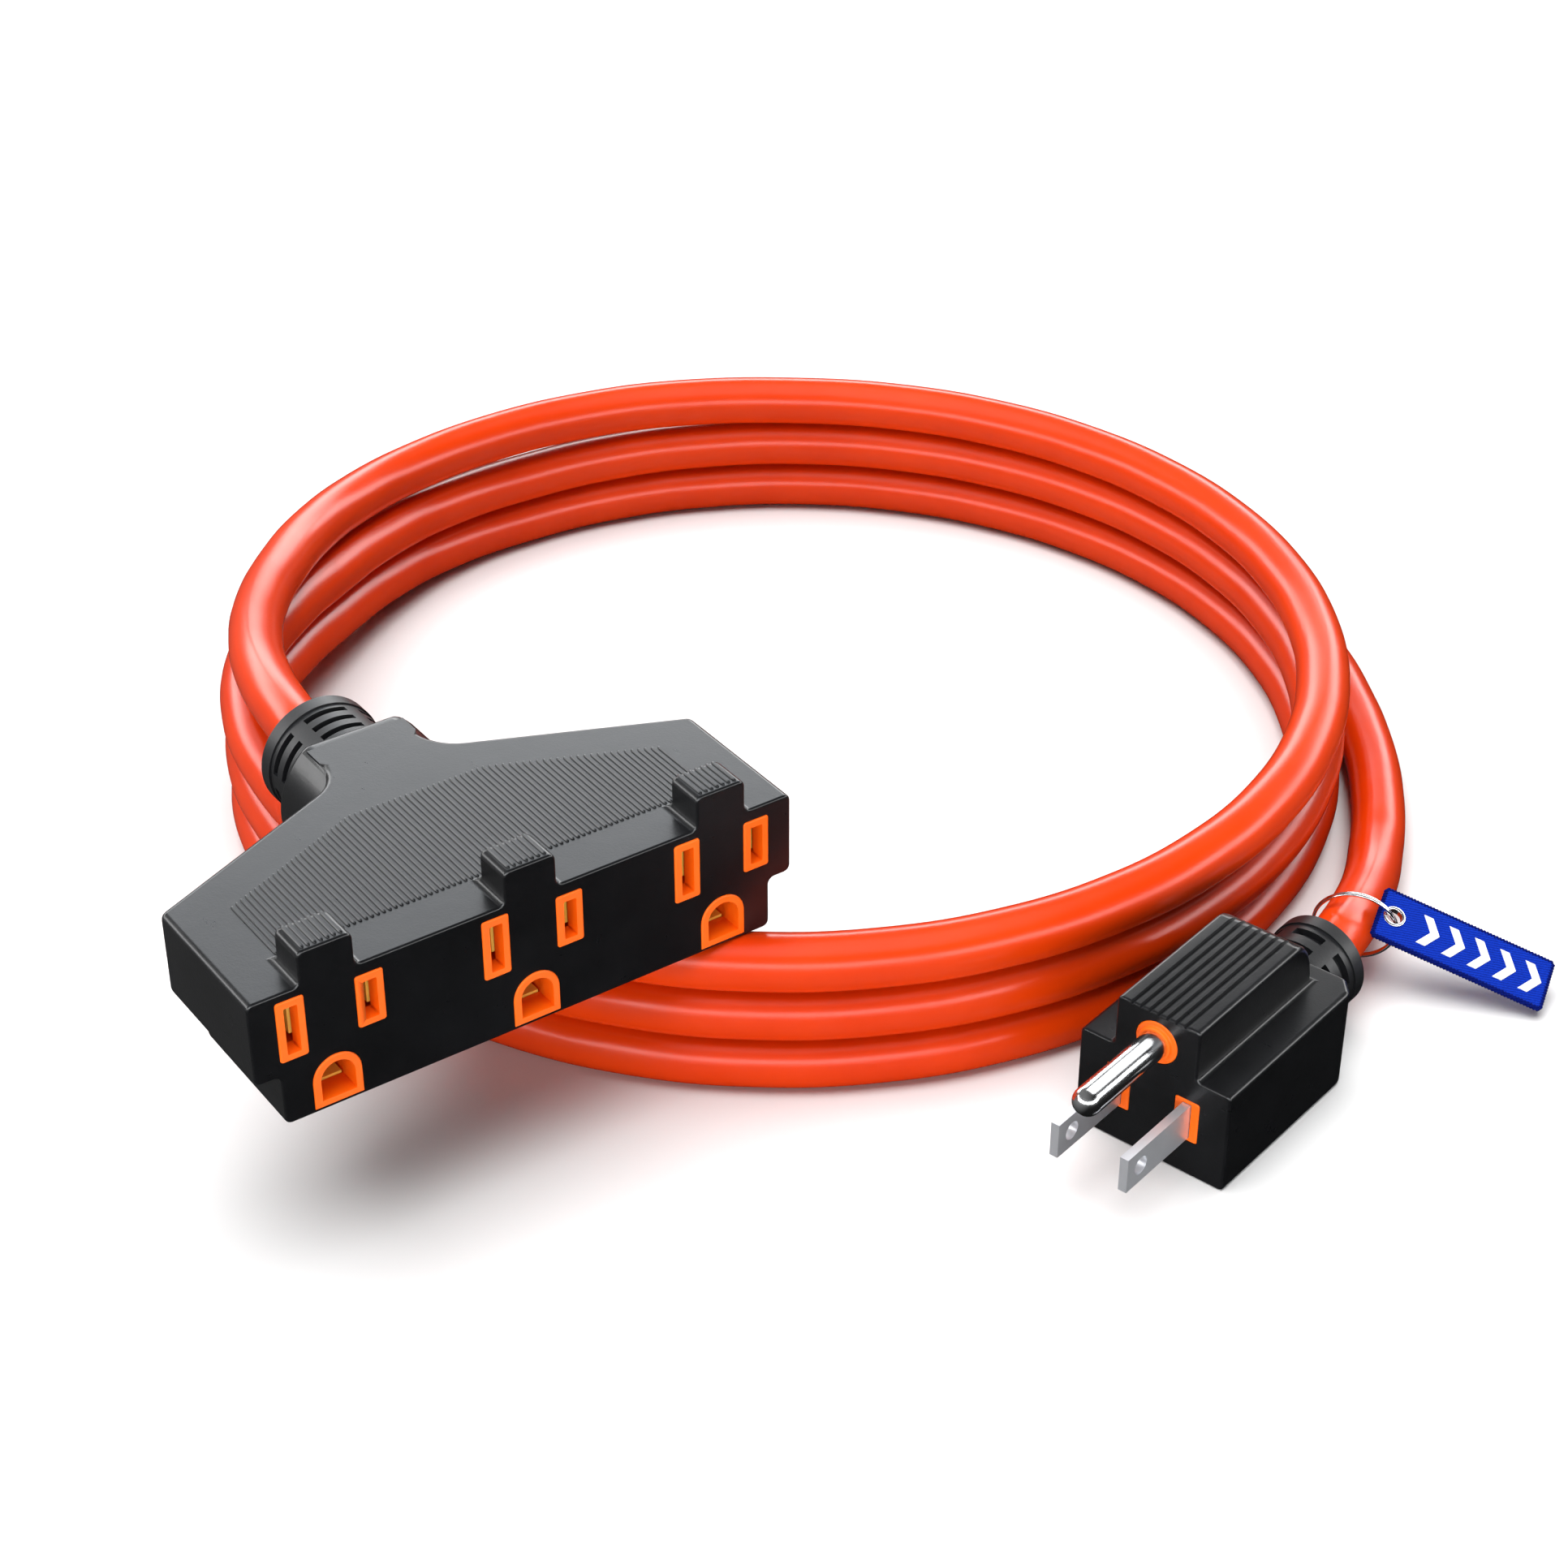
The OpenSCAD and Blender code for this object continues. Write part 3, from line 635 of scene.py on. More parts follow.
def round_edges(piece, radius, chosen, segments=3):
    """Rounds every sharp edge for whose middle chosen(middle) is true."""
    bm = bmesh.new()
    bm.from_mesh(piece.data)
    edges = []
    for edge in bm.edges:
        middle = (edge.verts[0].co + edge.verts[1].co) / 2
        if len(edge.link_faces) == 2 and edge.calc_face_angle() > SHARP and chosen(middle):
            edges.append(edge)
    bmesh.ops.bevel(bm, geom=edges, offset=radius, offset_type="OFFSET", segments=segments,
                    profile=0.5, affect="EDGES", clamp_overlap=False)
    bmesh.ops.remove_doubles(bm, verts=bm.verts, dist=MERGE)
    bm.to_mesh(piece.data)
    bm.free()
    return piece


def done(piece, slot, body, *nodes, place=None, smooth=35):
    """Scales a piece to metres, puts it in place and gives it its finish, body and CAD nodes.
    Edges that turn more than smooth, in degrees, stay sharp."""
    piece.data.transform(Matrix.Scale(MM, 4) @ (place or Matrix()))
    piece.data.shade_smooth()
    piece.data.set_sharp_from_angle(angle=math.radians(smooth))
    even = piece.modifiers.new("normals", "WEIGHTED_NORMAL")
    even.keep_sharp = True
    applied(piece)
    finish_piece(piece, slot, body, *nodes)
    return piece


def finish_piece(piece, slot, body, *nodes):
    piece.data.materials.clear()
    piece.data.materials.append(MATERIALS[slot])
    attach(piece, body)
    if nodes:
        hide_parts(*nodes)


finish_piece(cord, "cord_jacket", "cord_set", "connector_lead", "cord_coil", "plug_lead")


# ------------------------------------------------------ outlines

FACE_EDGE_Y = 0.01   # edges nearer to the face's plane than this lie in it
FILLET_STEPS = 8
ARCH_STEPS = 16
HOLE_CORNER = 0.25   # rounding of a hole's corners
GROWN_CORNER = 0.4   # rounding of a grown hole's corners, as a share of its growth

# A rib's section, in widths across and heights up, with its foot sunk into the surface
RIB_SECTION = ((-0.5, -0.3), (-0.5, 0.35), (-0.28, 0.85), (0.28, 0.85), (0.5, 0.35), (0.5, -0.3))
# A rib's rounded end: widths from the end, and the share of the full section there
RIB_END = ((0.0, 0.35), (0.35, 0.8), (0.9, 1.0))


def mirrored(half):
    """One loop out of half an outline and its mirror image."""
    return half + [(-x, y) for x, y in reversed(half)]


def soft_rectangle(cx, cz, width, height, radius, steps=4):
    """A rectangle with round corners."""
    points = []
    for sx, sz, start in ((1, 1, 0), (-1, 1, 90), (-1, -1, 180), (1, -1, 270)):
        for k in range(steps + 1):
            a = math.radians(start + 90 * k / steps)
            points.append((cx + sx * (width / 2 - radius) + radius * math.cos(a),
                           cz + sz * (height / 2 - radius) + radius * math.sin(a)))
    return points


def half_plan(half, side_d, neck_half):
    """Right half of a plan outline: straight end, sloping rear edge, fillet, neck."""
    nx, ny = math.sin(REAR_SLOPE), math.cos(REAR_SLOPE)
    cx = neck_half + NECK_FILLET
    cy = side_d + (NECK_FILLET - nx * (cx - half)) / ny
    start = math.radians(270) - REAR_SLOPE
    arc = [start + (math.pi - start) * k / FILLET_STEPS for k in range(FILLET_STEPS + 1)]
    return ([(half, 0), (half, side_d)]
            + [(cx + NECK_FILLET * math.cos(a), cy + NECK_FILLET * math.sin(a)) for a in arc]
            + [(neck_half, PLAN_END)])


def ground_outline(grow):
    """Ground hole round the pin's centre: flat below, arched above."""
    half = GROUND_HOLE_HALF + grow
    arc = [math.pi * k / ARCH_STEPS for k in range(ARCH_STEPS + 1)]
    return ([(-half, -half), (half, -half)]
            + [(half * math.cos(a), GROUND_ARCH_Z + half * math.sin(a)) for a in arc])


def outlet_windows(grow, start, end):
    """The holes of all outlets as prisms along Y, grown by the same amount."""
    solids = []
    corner = max(HOLE_CORNER, GROWN_CORNER * grow)
    for x in OUTLETS:
        for side, height in ((-1, NEUTRAL_SLOT_H), (1, LINE_SLOT_H)):
            outline = soft_rectangle(x + side * BLADE_X, 0, SLOT_W + 2 * grow, height + 2 * grow, corner)
            solids.append(prism(outline, start, end, "Y"))
        outline = [(x + a, b - GROUND_DROP) for a, b in ground_outline(grow)]
        solids.append(prism(outline, start, end, "Y"))
    return joined(*solids)


def blade_prisms(size, corner, start, end):
    """A prism along Y at each blade of the plug."""
    return [prism(soft_rectangle(side * BLADE_X, 0, *size, corner), start, end, "Y") for side in (-1, 1)]


def grip_bar(x, start, end, base, width, height):
    """A low rib along Y with a round top and round ends, sunk a little into the surface."""
    stations = [(start + away * width, share) for away, share in RIB_END]
    stations += [(end - away * width, share) for away, share in reversed(RIB_END)]
    bm = bmesh.new()
    rings = []
    for y, share in stations:
        ring = []
        for across, up in RIB_SECTION:
            rise = up * share if up > 0 else up
            ring.append(bm.verts.new((x + across * width * share, y, base + rise * height)))
        rings.append(ring)
    for near, far in zip(rings, rings[1:]):
        bridge(bm, near, far)
    bm.faces.new(rings[0])
    bm.faces.new(rings[-1])
    return bm


# ------------------------------------------------------ connector

PLAN_END = NECK_END - 2   # the plan ends inside the neck's bulge
NECK_STEPS = 24
ROUNDED_END = 50.0        # depth up to which the housing's edges are rounded
FIELD_RIB = (0.56, 0.3)   # width and height
TAB_RIB = (0.6, 0.29)
TAB_RIB_START = 0.6
TAB_RIB_END = 7.0
RIM_EDGE = 0.3            # rounding of the rims
RIM_ROOT = 0.5            # how far the redrawn rims run into an insert
HOLE_ROOT = 0.8           # how far the redrawn holes run into the outlets' insert

# Corners of a box over the front of an insert, up to the inner side of the shell's skin
FRONT_LOW = (-60.0, -2.0, -30.0)
FRONT_HIGH = (60.0, SKIN + GAP, 30.0)


def rib_end(x):
    """Depth at which the ribbed field ends: straight across the middle, sloping at the sides."""
    share = max(0.0, abs(x) - FIELD_FLAT_HALF) / (FIELD_SLOPE_HALF - FIELD_FLAT_HALF)
    return FIELD_END - share * (FIELD_END - FIELD_SIDE_END)


def grip_ribs():
    """The ribbed field on the connector's top, and the ribs on its tabs."""
    ribs = []
    for i in range(-FIELD_RIBS_ASIDE, FIELD_RIBS_ASIDE + 1):
        x = FIELD_RIB_PITCH * i
        ribs.append(grip_bar(x, FIELD_START, rib_end(x), CONN_TOP, *FIELD_RIB))
    for x in OUTLETS:
        for i in range(TAB_RIBS):
            rib_x = x + TAB_RIB_PITCH * (i - (TAB_RIBS - 1) / 2)
            ribs.append(grip_bar(rib_x, TAB_RIB_START, TAB_RIB_END, TAB_TOP, *TAB_RIB))
    return joined(*ribs)


def hook_tabs():
    """The tab over each outlet, sunk into the housing's top."""
    tabs = []
    for x in OUTLETS:
        tabs.append(box_bm((x - TAB_HALF, 0, CONN_TOP - OVER), (x + TAB_HALF, TAB_DEPTH, TAB_TOP)))
    return joined(*tabs)


def neck():
    """Bulging neck: a rod whose top and bottom are cut flat."""
    top = math.asin((CONN_TOP - CONN_AXIS_Z) / NECK_R)
    base = math.asin((CONN_BASE - CONN_AXIS_Z) / NECK_R)
    side = [base + (top - base) * k / NECK_STEPS for k in range(NECK_STEPS + 1)]
    right = [(NECK_R * math.cos(a), CONN_AXIS_Z + NECK_R * math.sin(a)) for a in side]
    piece = from_bmesh("neck", prism(mirrored(right), NECK_START, NECK_END, "Y"))
    return round_edges(piece, SOFT_EDGE, lambda p: p.y > NECK_START + OVER, segments=4)


def insert_room(grow, start, end):
    """T-shaped space that the insert fills behind the face."""
    left = [(-INSERT_HALF, INSERT_TOP), (-INSERT_HALF, INSERT_STEP_Z),
            (-INSERT_FOOT_HALF, INSERT_STEP_Z), (-INSERT_FOOT_HALF, INSERT_BASE)]
    grown = [(x - grow, z + math.copysign(grow, z)) for x, z in left]
    return prism(mirrored(grown), start, end, "Y")


def connector_shell():
    upper = mirrored(half_plan(CONN_HALF, CONN_SIDE_D, NECK_HALF))
    plinth = mirrored(half_plan(CONN_HALF - PLINTH_STEP, CONN_SIDE_D - PLINTH_STEP / 2,
                                PLINTH_NECK_HALF))
    shell = from_bmesh("connector_housing", prism(upper, PLINTH_TOP, CONN_TOP))
    add(shell, prism(plinth, CONN_BASE, PLINTH_TOP + OVER))
    add(shell, hook_tabs())
    clean(shell)
    round_edges(shell, SOFT_EDGE, lambda p: FACE_EDGE_Y < p.y < ROUNDED_END, segments=4)
    round_edges(shell, FACE_EDGE, lambda p: p.y < FACE_EDGE_Y)
    add(shell, neck())
    add(shell, grip_ribs())
    cut(shell, insert_room(GAP, SKIN, COVER_END))
    cut(shell, outlet_windows(RIM + GAP, -OVER, SKIN + OVER))
    cut(shell, box_bm((-WIRING_HALF, COVER_END - OVER, WIRING_BASE),
                      (WIRING_HALF, WIRING_END, INSERT_TOP)))
    cut(shell, rod_bm(0, CONN_AXIS_Z, CORD_R + GAP, *LEAD_BORE))
    cut(shell, rod_bm(0, CONN_AXIS_Z, SLEEVE_R + GAP, NECK_END - SLEEVE_LEN, NECK_END + OVER))
    return done(shell, "black_plastic", "cord_set", "connector_shell")


def refaced(node, name, rims, holes, place=None):
    """A copy of an insert whose rims in front of the shell are redrawn with round corners."""
    piece = link_mesh(name, frame["nodes"][node].data.copy())
    piece.data.transform((place or Matrix()).inverted() @ Matrix.Scale(1 / MM, 4))
    cut(piece, box_bm(FRONT_LOW, FRONT_HIGH))
    face = from_bmesh("face", rims)
    round_edges(face, RIM_EDGE, lambda p: p.y < 0)
    add(piece, face)
    cut(piece, holes)
    return done(piece, "orange_plastic", "cord_set", node, place=place)


def outlet_insert():
    return refaced("outlet_insert", "outlet_insert_face",
                   outlet_windows(RIM, RIM_FRONT, SKIN + RIM_ROOT),
                   outlet_windows(0, -OVER, SKIN + HOLE_ROOT))


# ------------------------------------------------------ plug

PLUG_EDGE = 0.9          # rounding of the plug's edges
PLUG_FACE_EDGE = 0.5     # rounding of the edges round the plug's face
SLOPE_STEP = 15          # degrees between the points of the middle block's rounded rear
GROOVE_RUN = 4.0         # how far the grooves run out on the rounded rear
# A groove's section round its middle: a flat floor and lips that lean outwards
GROOVE_SECTION = ((-0.15, -0.45), (0.15, -0.45), (0.32, -0.2), (0.42, 0.1), (-0.42, 0.1),
                  (-0.32, -0.2))
BLADE_SLOT_CORNER = 0.2


def plug_foot():
    """The plug's wide foot, with its rear corners cut off."""
    across, along = PLUG_CHAMFER
    outline = [(-PLUG_HALF, 0), (PLUG_HALF, 0), (PLUG_HALF, PLUG_D - along),
               (PLUG_HALF - across, PLUG_D), (across - PLUG_HALF, PLUG_D),
               (-PLUG_HALF, PLUG_D - along)]
    return prism(outline, -PLUG_BASE, SHOULDER_TOP)


def plug_block():
    """The middle block, which slopes down in a curve at its rear."""
    curve = []
    for angle in range(0, 91, SLOPE_STEP):
        a = math.radians(angle)
        curve.append((BLOCK_D + BLOCK_SLOPE * math.cos(a),
                      SHOULDER_TOP + (BLOCK_TOP - SHOULDER_TOP) * math.sin(a)))
    outline = [(0, 0), (BLOCK_D + BLOCK_SLOPE, 0)] + curve + [(0, BLOCK_TOP)]
    return prism(outline, -BLOCK_HALF, BLOCK_HALF, "X")


def plug_grooves():
    grooves = []
    for i in range(-PLUG_GROOVES_ASIDE, PLUG_GROOVES_ASIDE + 1):
        outline = [(PLUG_GROOVE_PITCH * i + x, BLOCK_TOP + z) for x, z in GROOVE_SECTION]
        grooves.append(prism(outline, -OVER, BLOCK_D + GROOVE_RUN, "Y"))
    return joined(*grooves)


def plug_room(grow):
    """Space for the plug's insert: wide round the blades, narrow above them for the pin."""
    foot_half = PLUG_FOOT[0] / 2 + grow
    foot_top = PLUG_FOOT[1] / 2 + grow
    upright_half = PLUG_UPRIGHT[0] / 2 + grow
    top = PLUG_UPRIGHT[1] + grow
    outline = [(-foot_half, foot_top), (-foot_half, -foot_top), (foot_half, -foot_top),
               (foot_half, foot_top), (upright_half, foot_top), (upright_half, top),
               (-upright_half, top), (-upright_half, foot_top)]
    return prism(outline, SKIN, PLUG_INSERT_END, "Y")


def plug_windows():
    """Holes in the face for the pads round the blades and the disc round the pin."""
    holes = blade_prisms((PAD[0] + 2 * GAP, PAD[1] + 2 * GAP), PAD_CORNER, -OVER, SKIN + OVER)
    return joined(*holes, rod_bm(0, GROUND_DROP, PAD_R + GAP, -OVER, SKIN + OVER))


def plug_shell():
    shell = from_bmesh("plug_housing", plug_foot())
    add(shell, plug_block())
    clean(shell)
    round_edges(shell, PLUG_EDGE, lambda p: p.y > FACE_EDGE_Y, segments=4)
    round_edges(shell, PLUG_FACE_EDGE, lambda p: p.y < FACE_EDGE_Y)
    cut(shell, plug_grooves())
    cut(shell, plug_room(GAP))
    cut(shell, plug_windows())
    across, up = PLUG_WIRING_HALF
    cut(shell, box_bm((-across, PLUG_INSERT_END - OVER, -up), (across, PLUG_WIRING_END, up)))
    cut(shell, rod_bm(0, PLUG_AXIS_Z, SLEEVE_R + GAP, PLUG_D - SLEEVE_LEN, PLUG_D + OVER))
    return done(shell, "black_plastic", "cord_set", "plug_shell", place=AT_PLUG)


def plug_insert():
    """Pads round the blades, and a disc with a collar round the ground pin."""
    pads = blade_prisms(PAD, PAD_CORNER, PAD_FRONT, SKIN + RIM_ROOT)
    disc = turned_bm(0, GROUND_DROP, [(0, COLLAR_FRONT), (COLLAR_R, COLLAR_FRONT),
                                      (COLLAR_R, PAD_FRONT), (PAD_R, PAD_FRONT),
                                      (PAD_R, SKIN + RIM_ROOT), (0, SKIN + RIM_ROOT)])
    slots = blade_prisms(BLADE_SLOT, BLADE_SLOT_CORNER, -OVER, SKIN + OVER)
    bore = rod_bm(0, GROUND_DROP, PIN_BORE_R, -OVER, SKIN + OVER)
    return refaced("plug_insert", "plug_insert_face", joined(*pads, disc), joined(*slots, bore),
                   AT_PLUG)


# ------------------------------------------------------ tag

RING_TURNS = 2
RING_STEPS = 48            # points in each turn of the ring
RING_PITCH = 1.1 * WIRE_R  # how far each turn of the ring steps sideways
TAG_CORNER = 0.5
PATCH_INSET = 0.6 * BORDER_W
PATCH_CELLS = (62, 20)
STITCHES = 136
STITCH_STEPS = 6           # sections of the border in each stitch
BORDER_SIDES = 10
BORDER_HALF_W = 0.48 * BORDER_W
BORDER_HALF_T = 0.54
STITCH_MEAN = 0.95         # a stitch swells and thins round this share of the full section
STITCH_SWELL = 0.15
STITCH_LAG = 0.12          # how far the outer side of a stitch leans along the border
CHEVRONS = 5
CHEVRON_PITCH = 4.6
CHEVRON_HALF = 2.9
CHEVRON_ARM = 1.7          # width of an arm, along the tag
CHEVRON_POINT = 1.9        # how far the point stands ahead of the arms' ends
THREAD_ROOT = 0.35         # the embroidery's lowest and highest distance from the patch's middle
THREAD_TOP = 0.56
THREAD_EDGE = 0.12
EYELET_BORE_R = 1.35
EYELET_HALF = 0.5          # half the length of the eyelet's barrel
FLANGE_R = 1.66            # middle of the rolled flange
FLANGE_HALF = 0.3
FLANGE_RISE = 0.2
EYELET_STEPS = 40


def split_ring():
    """Two turns of wire, side by side, that step across once."""
    last = RING_TURNS * RING_STEPS
    points = []
    for k in range(last + 1):
        a = math.tau * k / RING_STEPS
        along = (k / last - 0.5) * RING_TURNS * RING_PITCH
        on_ring = Vector((RING_R * math.cos(a) - RING_R, along, RING_R * math.sin(a)))
        points.append(AT_RING @ on_ring * MM)
    ring = curve_object("split_ring", points, WIRE_R * MM, resolution=2, roundness=4)
    finish_piece(ring, "ring_steel", "ring", "tag_ring")
    return ring


def slab(inset, thickness):
    """The tag's outline as a closed slab of fine cells."""
    low = Vector((inset - EYELET_INSET, inset - TAG_W / 2))
    size = Vector((TAG_LEN - 2 * inset, TAG_W - 2 * inset))
    bm = bmesh.new()
    bmesh.ops.create_grid(bm, x_segments=PATCH_CELLS[0], y_segments=PATCH_CELLS[1], size=0.5)
    for v in bm.verts:
        v.co.x = low.x + size.x * (v.co.x + 0.5)
        v.co.y = low.y + size.y * (v.co.y + 0.5)
    raised = bmesh.ops.extrude_face_region(bm, geom=bm.faces[:])
    for item in raised["geom"]:
        if isinstance(item, bmesh.types.BMVert):
            item.co.z += thickness
    bmesh.ops.translate(bm, verts=bm.verts, vec=(0, 0, -thickness / 2))
    return bm


def tag_patch():
    """The woven patch, whose edge lies inside the border, with a hole for the eyelet."""
    patch = from_bmesh("tag_fabric", slab(PATCH_INSET, PATCH_T))
    cut(patch, prism(circle(0, 0, EYELET_HOLE_R, sides=32), -PATCH_T - OVER, PATCH_T + OVER))
    return done(patch, "blue_twill", "tag", "tag_patch", place=AT_TAG)


def border_path(inset, steps):
    """Points round the tag's edge, with round corners, at even distances."""
    cx = TAG_LEN / 2 - EYELET_INSET
    corners = soft_rectangle(cx, 0, TAG_LEN - 2 * inset, TAG_W - 2 * inset, TAG_CORNER, steps=6)
    loop = [Vector((*p, 0)) for p in corners] + [Vector((*corners[0], 0))]
    lengths = [(b - a).length for a, b in zip(loop, loop[1:])]
    total = sum(lengths)
    points = []
    for k in range(steps):
        goal = total * k / steps
        i = 0
        while goal > lengths[i]:
            goal -= lengths[i]
            i += 1
        points.append(loop[i].lerp(loop[i + 1], goal / lengths[i]))
    return points


def stitch_ring(bm, middle, along, swell):
    """One section of the border round a point of its path."""
    out = along.cross(Vector((0, 0, 1)))
    ring = []
    for k in range(BORDER_SIDES):
        a = math.tau * k / BORDER_SIDES
        lag = STITCH_LAG * math.cos(a) * along
        aside = out * (BORDER_HALF_W * swell * math.cos(a))
        up = Vector((0, 0, BORDER_HALF_T * swell * math.sin(a)))
        ring.append(bm.verts.new(middle + lag + aside + up))
    return ring


def tag_border():
    """Overlocked edge: a flat roll round the tag whose surface rises and falls with each stitch."""
    path = border_path(BORDER_W / 2, STITCHES * STITCH_STEPS)
    count = len(path)
    bm = bmesh.new()
    rings = []
    for i, middle in enumerate(path):
        along = (path[(i + 3) % count] - path[i - 3]).normalized()
        swell = STITCH_MEAN + STITCH_SWELL * math.cos(math.tau * i / STITCH_STEPS)
        rings.append(stitch_ring(bm, middle, along, swell))
    for i in range(count):
        bridge(bm, rings[i], rings[(i + 1) % count])
    border = from_bmesh("tag_overlock", bm)
    return done(border, "navy_thread", "tag", "tag_border", place=AT_TAG, smooth=80)


def tag_chevrons():
    """Plain embroidered chevrons: raised satin stitch on both faces."""
    solids = []
    for i in range(CHEVRONS):
        x = CHEVRON_PITCH * (i + 1)
        outline = [(x, -CHEVRON_HALF), (x + CHEVRON_ARM, -CHEVRON_HALF),
                   (x + CHEVRON_ARM + CHEVRON_POINT, 0), (x + CHEVRON_ARM, CHEVRON_HALF),
                   (x, CHEVRON_HALF), (x + CHEVRON_POINT, 0)]
        solids.append(prism(outline, THREAD_ROOT, THREAD_TOP))
        solids.append(prism(outline, -THREAD_TOP, -THREAD_ROOT))
    piece = from_bmesh("tag_embroidery", joined(*solids))
    round_edges(piece, THREAD_EDGE, lambda p: abs(p.z) > THREAD_TOP - MERGE, segments=2)
    done(piece, "blue_twill", "tag", place=AT_TAG)
    piece.data.materials[0] = WHITE_THREAD
    return piece


def tag_eyelet():
    """Rolled metal eyelet: a barrel with a round flange on each face."""
    upper = [(EYELET_BORE_R, EYELET_HALF)]
    for angle in range(180, -1, -20):
        a = math.radians(angle)
        upper.append((FLANGE_R + FLANGE_HALF * math.cos(a), EYELET_HALF + FLANGE_RISE * math.sin(a)))
    profile = [(r, -z) for r, z in upper] + upper[::-1]
    bm = bmesh.new()
    rings = []
    for k in range(EYELET_STEPS):
        a = math.tau * k / EYELET_STEPS
        rings.append([bm.verts.new((r * math.cos(a), r * math.sin(a), z)) for r, z in profile])
    for k in range(EYELET_STEPS):
        bridge(bm, rings[k], rings[(k + 1) % EYELET_STEPS])
    eyelet = from_bmesh("eyelet", bm)
    return done(eyelet, "ring_steel", "tag", "tag_eyelet", place=AT_TAG, smooth=60)


# ------------------------------------------------------ CAD nodes that keep their shape

ROUNDED_ANGLE = math.radians(40)   # an edge that turns more than this is rounded

# Material slot of each node, and the rounding of its edges in millimetres
KEPT = {
    "connector_strain_relief": ("strain_relief_rubber", 0.25),
    "plug_strain_relief": ("strain_relief_rubber", 0.25),
    "insert_rear_cover": ("orange_plastic", 0.2),
    "line_bus_bar": ("brass", 0.1),
    "neutral_bus_bar": ("brass", 0.1),
    "ground_bus_bar": ("brass", 0.1),
    "line_contacts": ("brass", 0.08),
    "neutral_contacts": ("brass", 0.08),
    "ground_contacts": ("brass", 0.08),
    "connector_crimps": ("brass", 0.1),
    "plug_crimps": ("brass", 0.1),
    "line_blade": ("nickel_plate", 0.2),
    "neutral_blade": ("nickel_plate", 0.2),
    "ground_pin": ("nickel_plate", 0.0),
    "connector_line_core": ("black_insulation", 0.0),
    "connector_neutral_core": ("white_insulation", 0.0),
    "connector_ground_core": ("green_insulation", 0.0),
    "plug_line_core": ("black_insulation", 0.0),
    "plug_neutral_core": ("white_insulation", 0.0),
    "plug_ground_core": ("green_insulation", 0.0),
}


def finish_for(name, slot):
    """The slot's material, or a brighter, less metallic copy of it with painted light for the blades and
    the contacts.
    """
    if name.endswith("blade"):
        return PAINTED_LIT_NICKEL
    if name.endswith("contacts"):
        return PAINTED_LIT_BRASS
    return MATERIALS[slot]


def keep_cad_nodes():
    """Gives every CAD node that is shown its material, and its sharp edges a small radius."""
    for name, (slot, radius) in KEPT.items():
        node = frame["nodes"][name]
        node.data.materials.clear()
        node.data.materials.append(finish_for(name, slot))
        if radius:
            edge = node.modifiers.new("edges", "BEVEL")
            edge.width = radius * MM
            edge.segments = 2
            edge.limit_method = "ANGLE"
            edge.angle_limit = ROUNDED_ANGLE
            edge.harden_normals = True


connector_shell()
outlet_insert()
plug_shell()
plug_insert()
split_ring()
tag_patch()
tag_border()
tag_chevrons()
tag_eyelet()
keep_cad_nodes()


# ------------------------------------------------------ stage and light, in metres

FLOOR_HALF = 4.0
GLOW_START = 0.7         # distance from the middle at which the floor starts to glow
GLOW_END = 2.2
DOME_R = 6.5
MIDDLE = Vector((0.07, 0.03, FLOOR * MM))   # what every light faces
LIGHT_DISTANCE = 1.5
OVERHEAD_DISTANCE = 3.0
BEHIND = (0.48, 0.68, 0.62)                 # over the object's far side, seen from the camera
COOL = (0.9, 0.95, 1.0)
WHITE = (1.0, 1.0, 1.0)
SOFTBOX = (1.5, 0.7)
RING_LIGHTS = 8
RING_HEIGHT = math.radians(21)   # elevation of the ring of softboxes


def make_floor():
    """Pale floor that lights the piece from below but isn't mirrored in its gloss. Far out, where
    the lights don't reach, it glows a little so that it stays pale."""
    bm = bmesh.new()
    bmesh.ops.create_grid(bm, x_segments=1, y_segments=1, size=FLOOR_HALF)
    floor = from_bmesh("floor", bm)
    floor.location.z = FLOOR * MM
    floor.visible_glossy = False
    n = Nodes("floor")
    away = n.add("ShaderNodeVectorMath", operation="LENGTH")
    n.link(n.place, away.inputs[0])
    glow = n.add("ShaderNodeMapRange")
    glow.inputs["From Min"].default_value = GLOW_START
    glow.inputs["From Max"].default_value = GLOW_END
    n.link(away.outputs["Value"], glow.inputs["Value"])
    n.link(glow.outputs["Result"], n.shader.inputs["Emission Strength"])
    n.paint(colour=n.two_tone(n.noise(scale=3), (0.73, 0.73, 0.73), (0.75, 0.75, 0.75)),
            Roughness=0.9, Specular_IOR_Level=0.1, Emission_Color=(*WHITE, 1))
    floor.data.materials.append(n.material)


def make_backdrop():
    """Pale dome that only the camera sees, so that it adds no light and no reflections."""
    bm = bmesh.new()
    bmesh.ops.create_uvsphere(bm, u_segments=32, v_segments=16, radius=DOME_R)
    dome = from_bmesh("backdrop", bm)
    dome.visible_diffuse = False
    dome.visible_glossy = False
    dome.visible_transmission = False
    dome.visible_shadow = False
    n = Nodes("backdrop")
    n.paint(Base_Color=(0, 0, 0, 1), Specular_IOR_Level=0.0, Emission_Color=(*WHITE, 1),
            Emission_Strength=1.0)
    dome.data.materials.append(n.material)


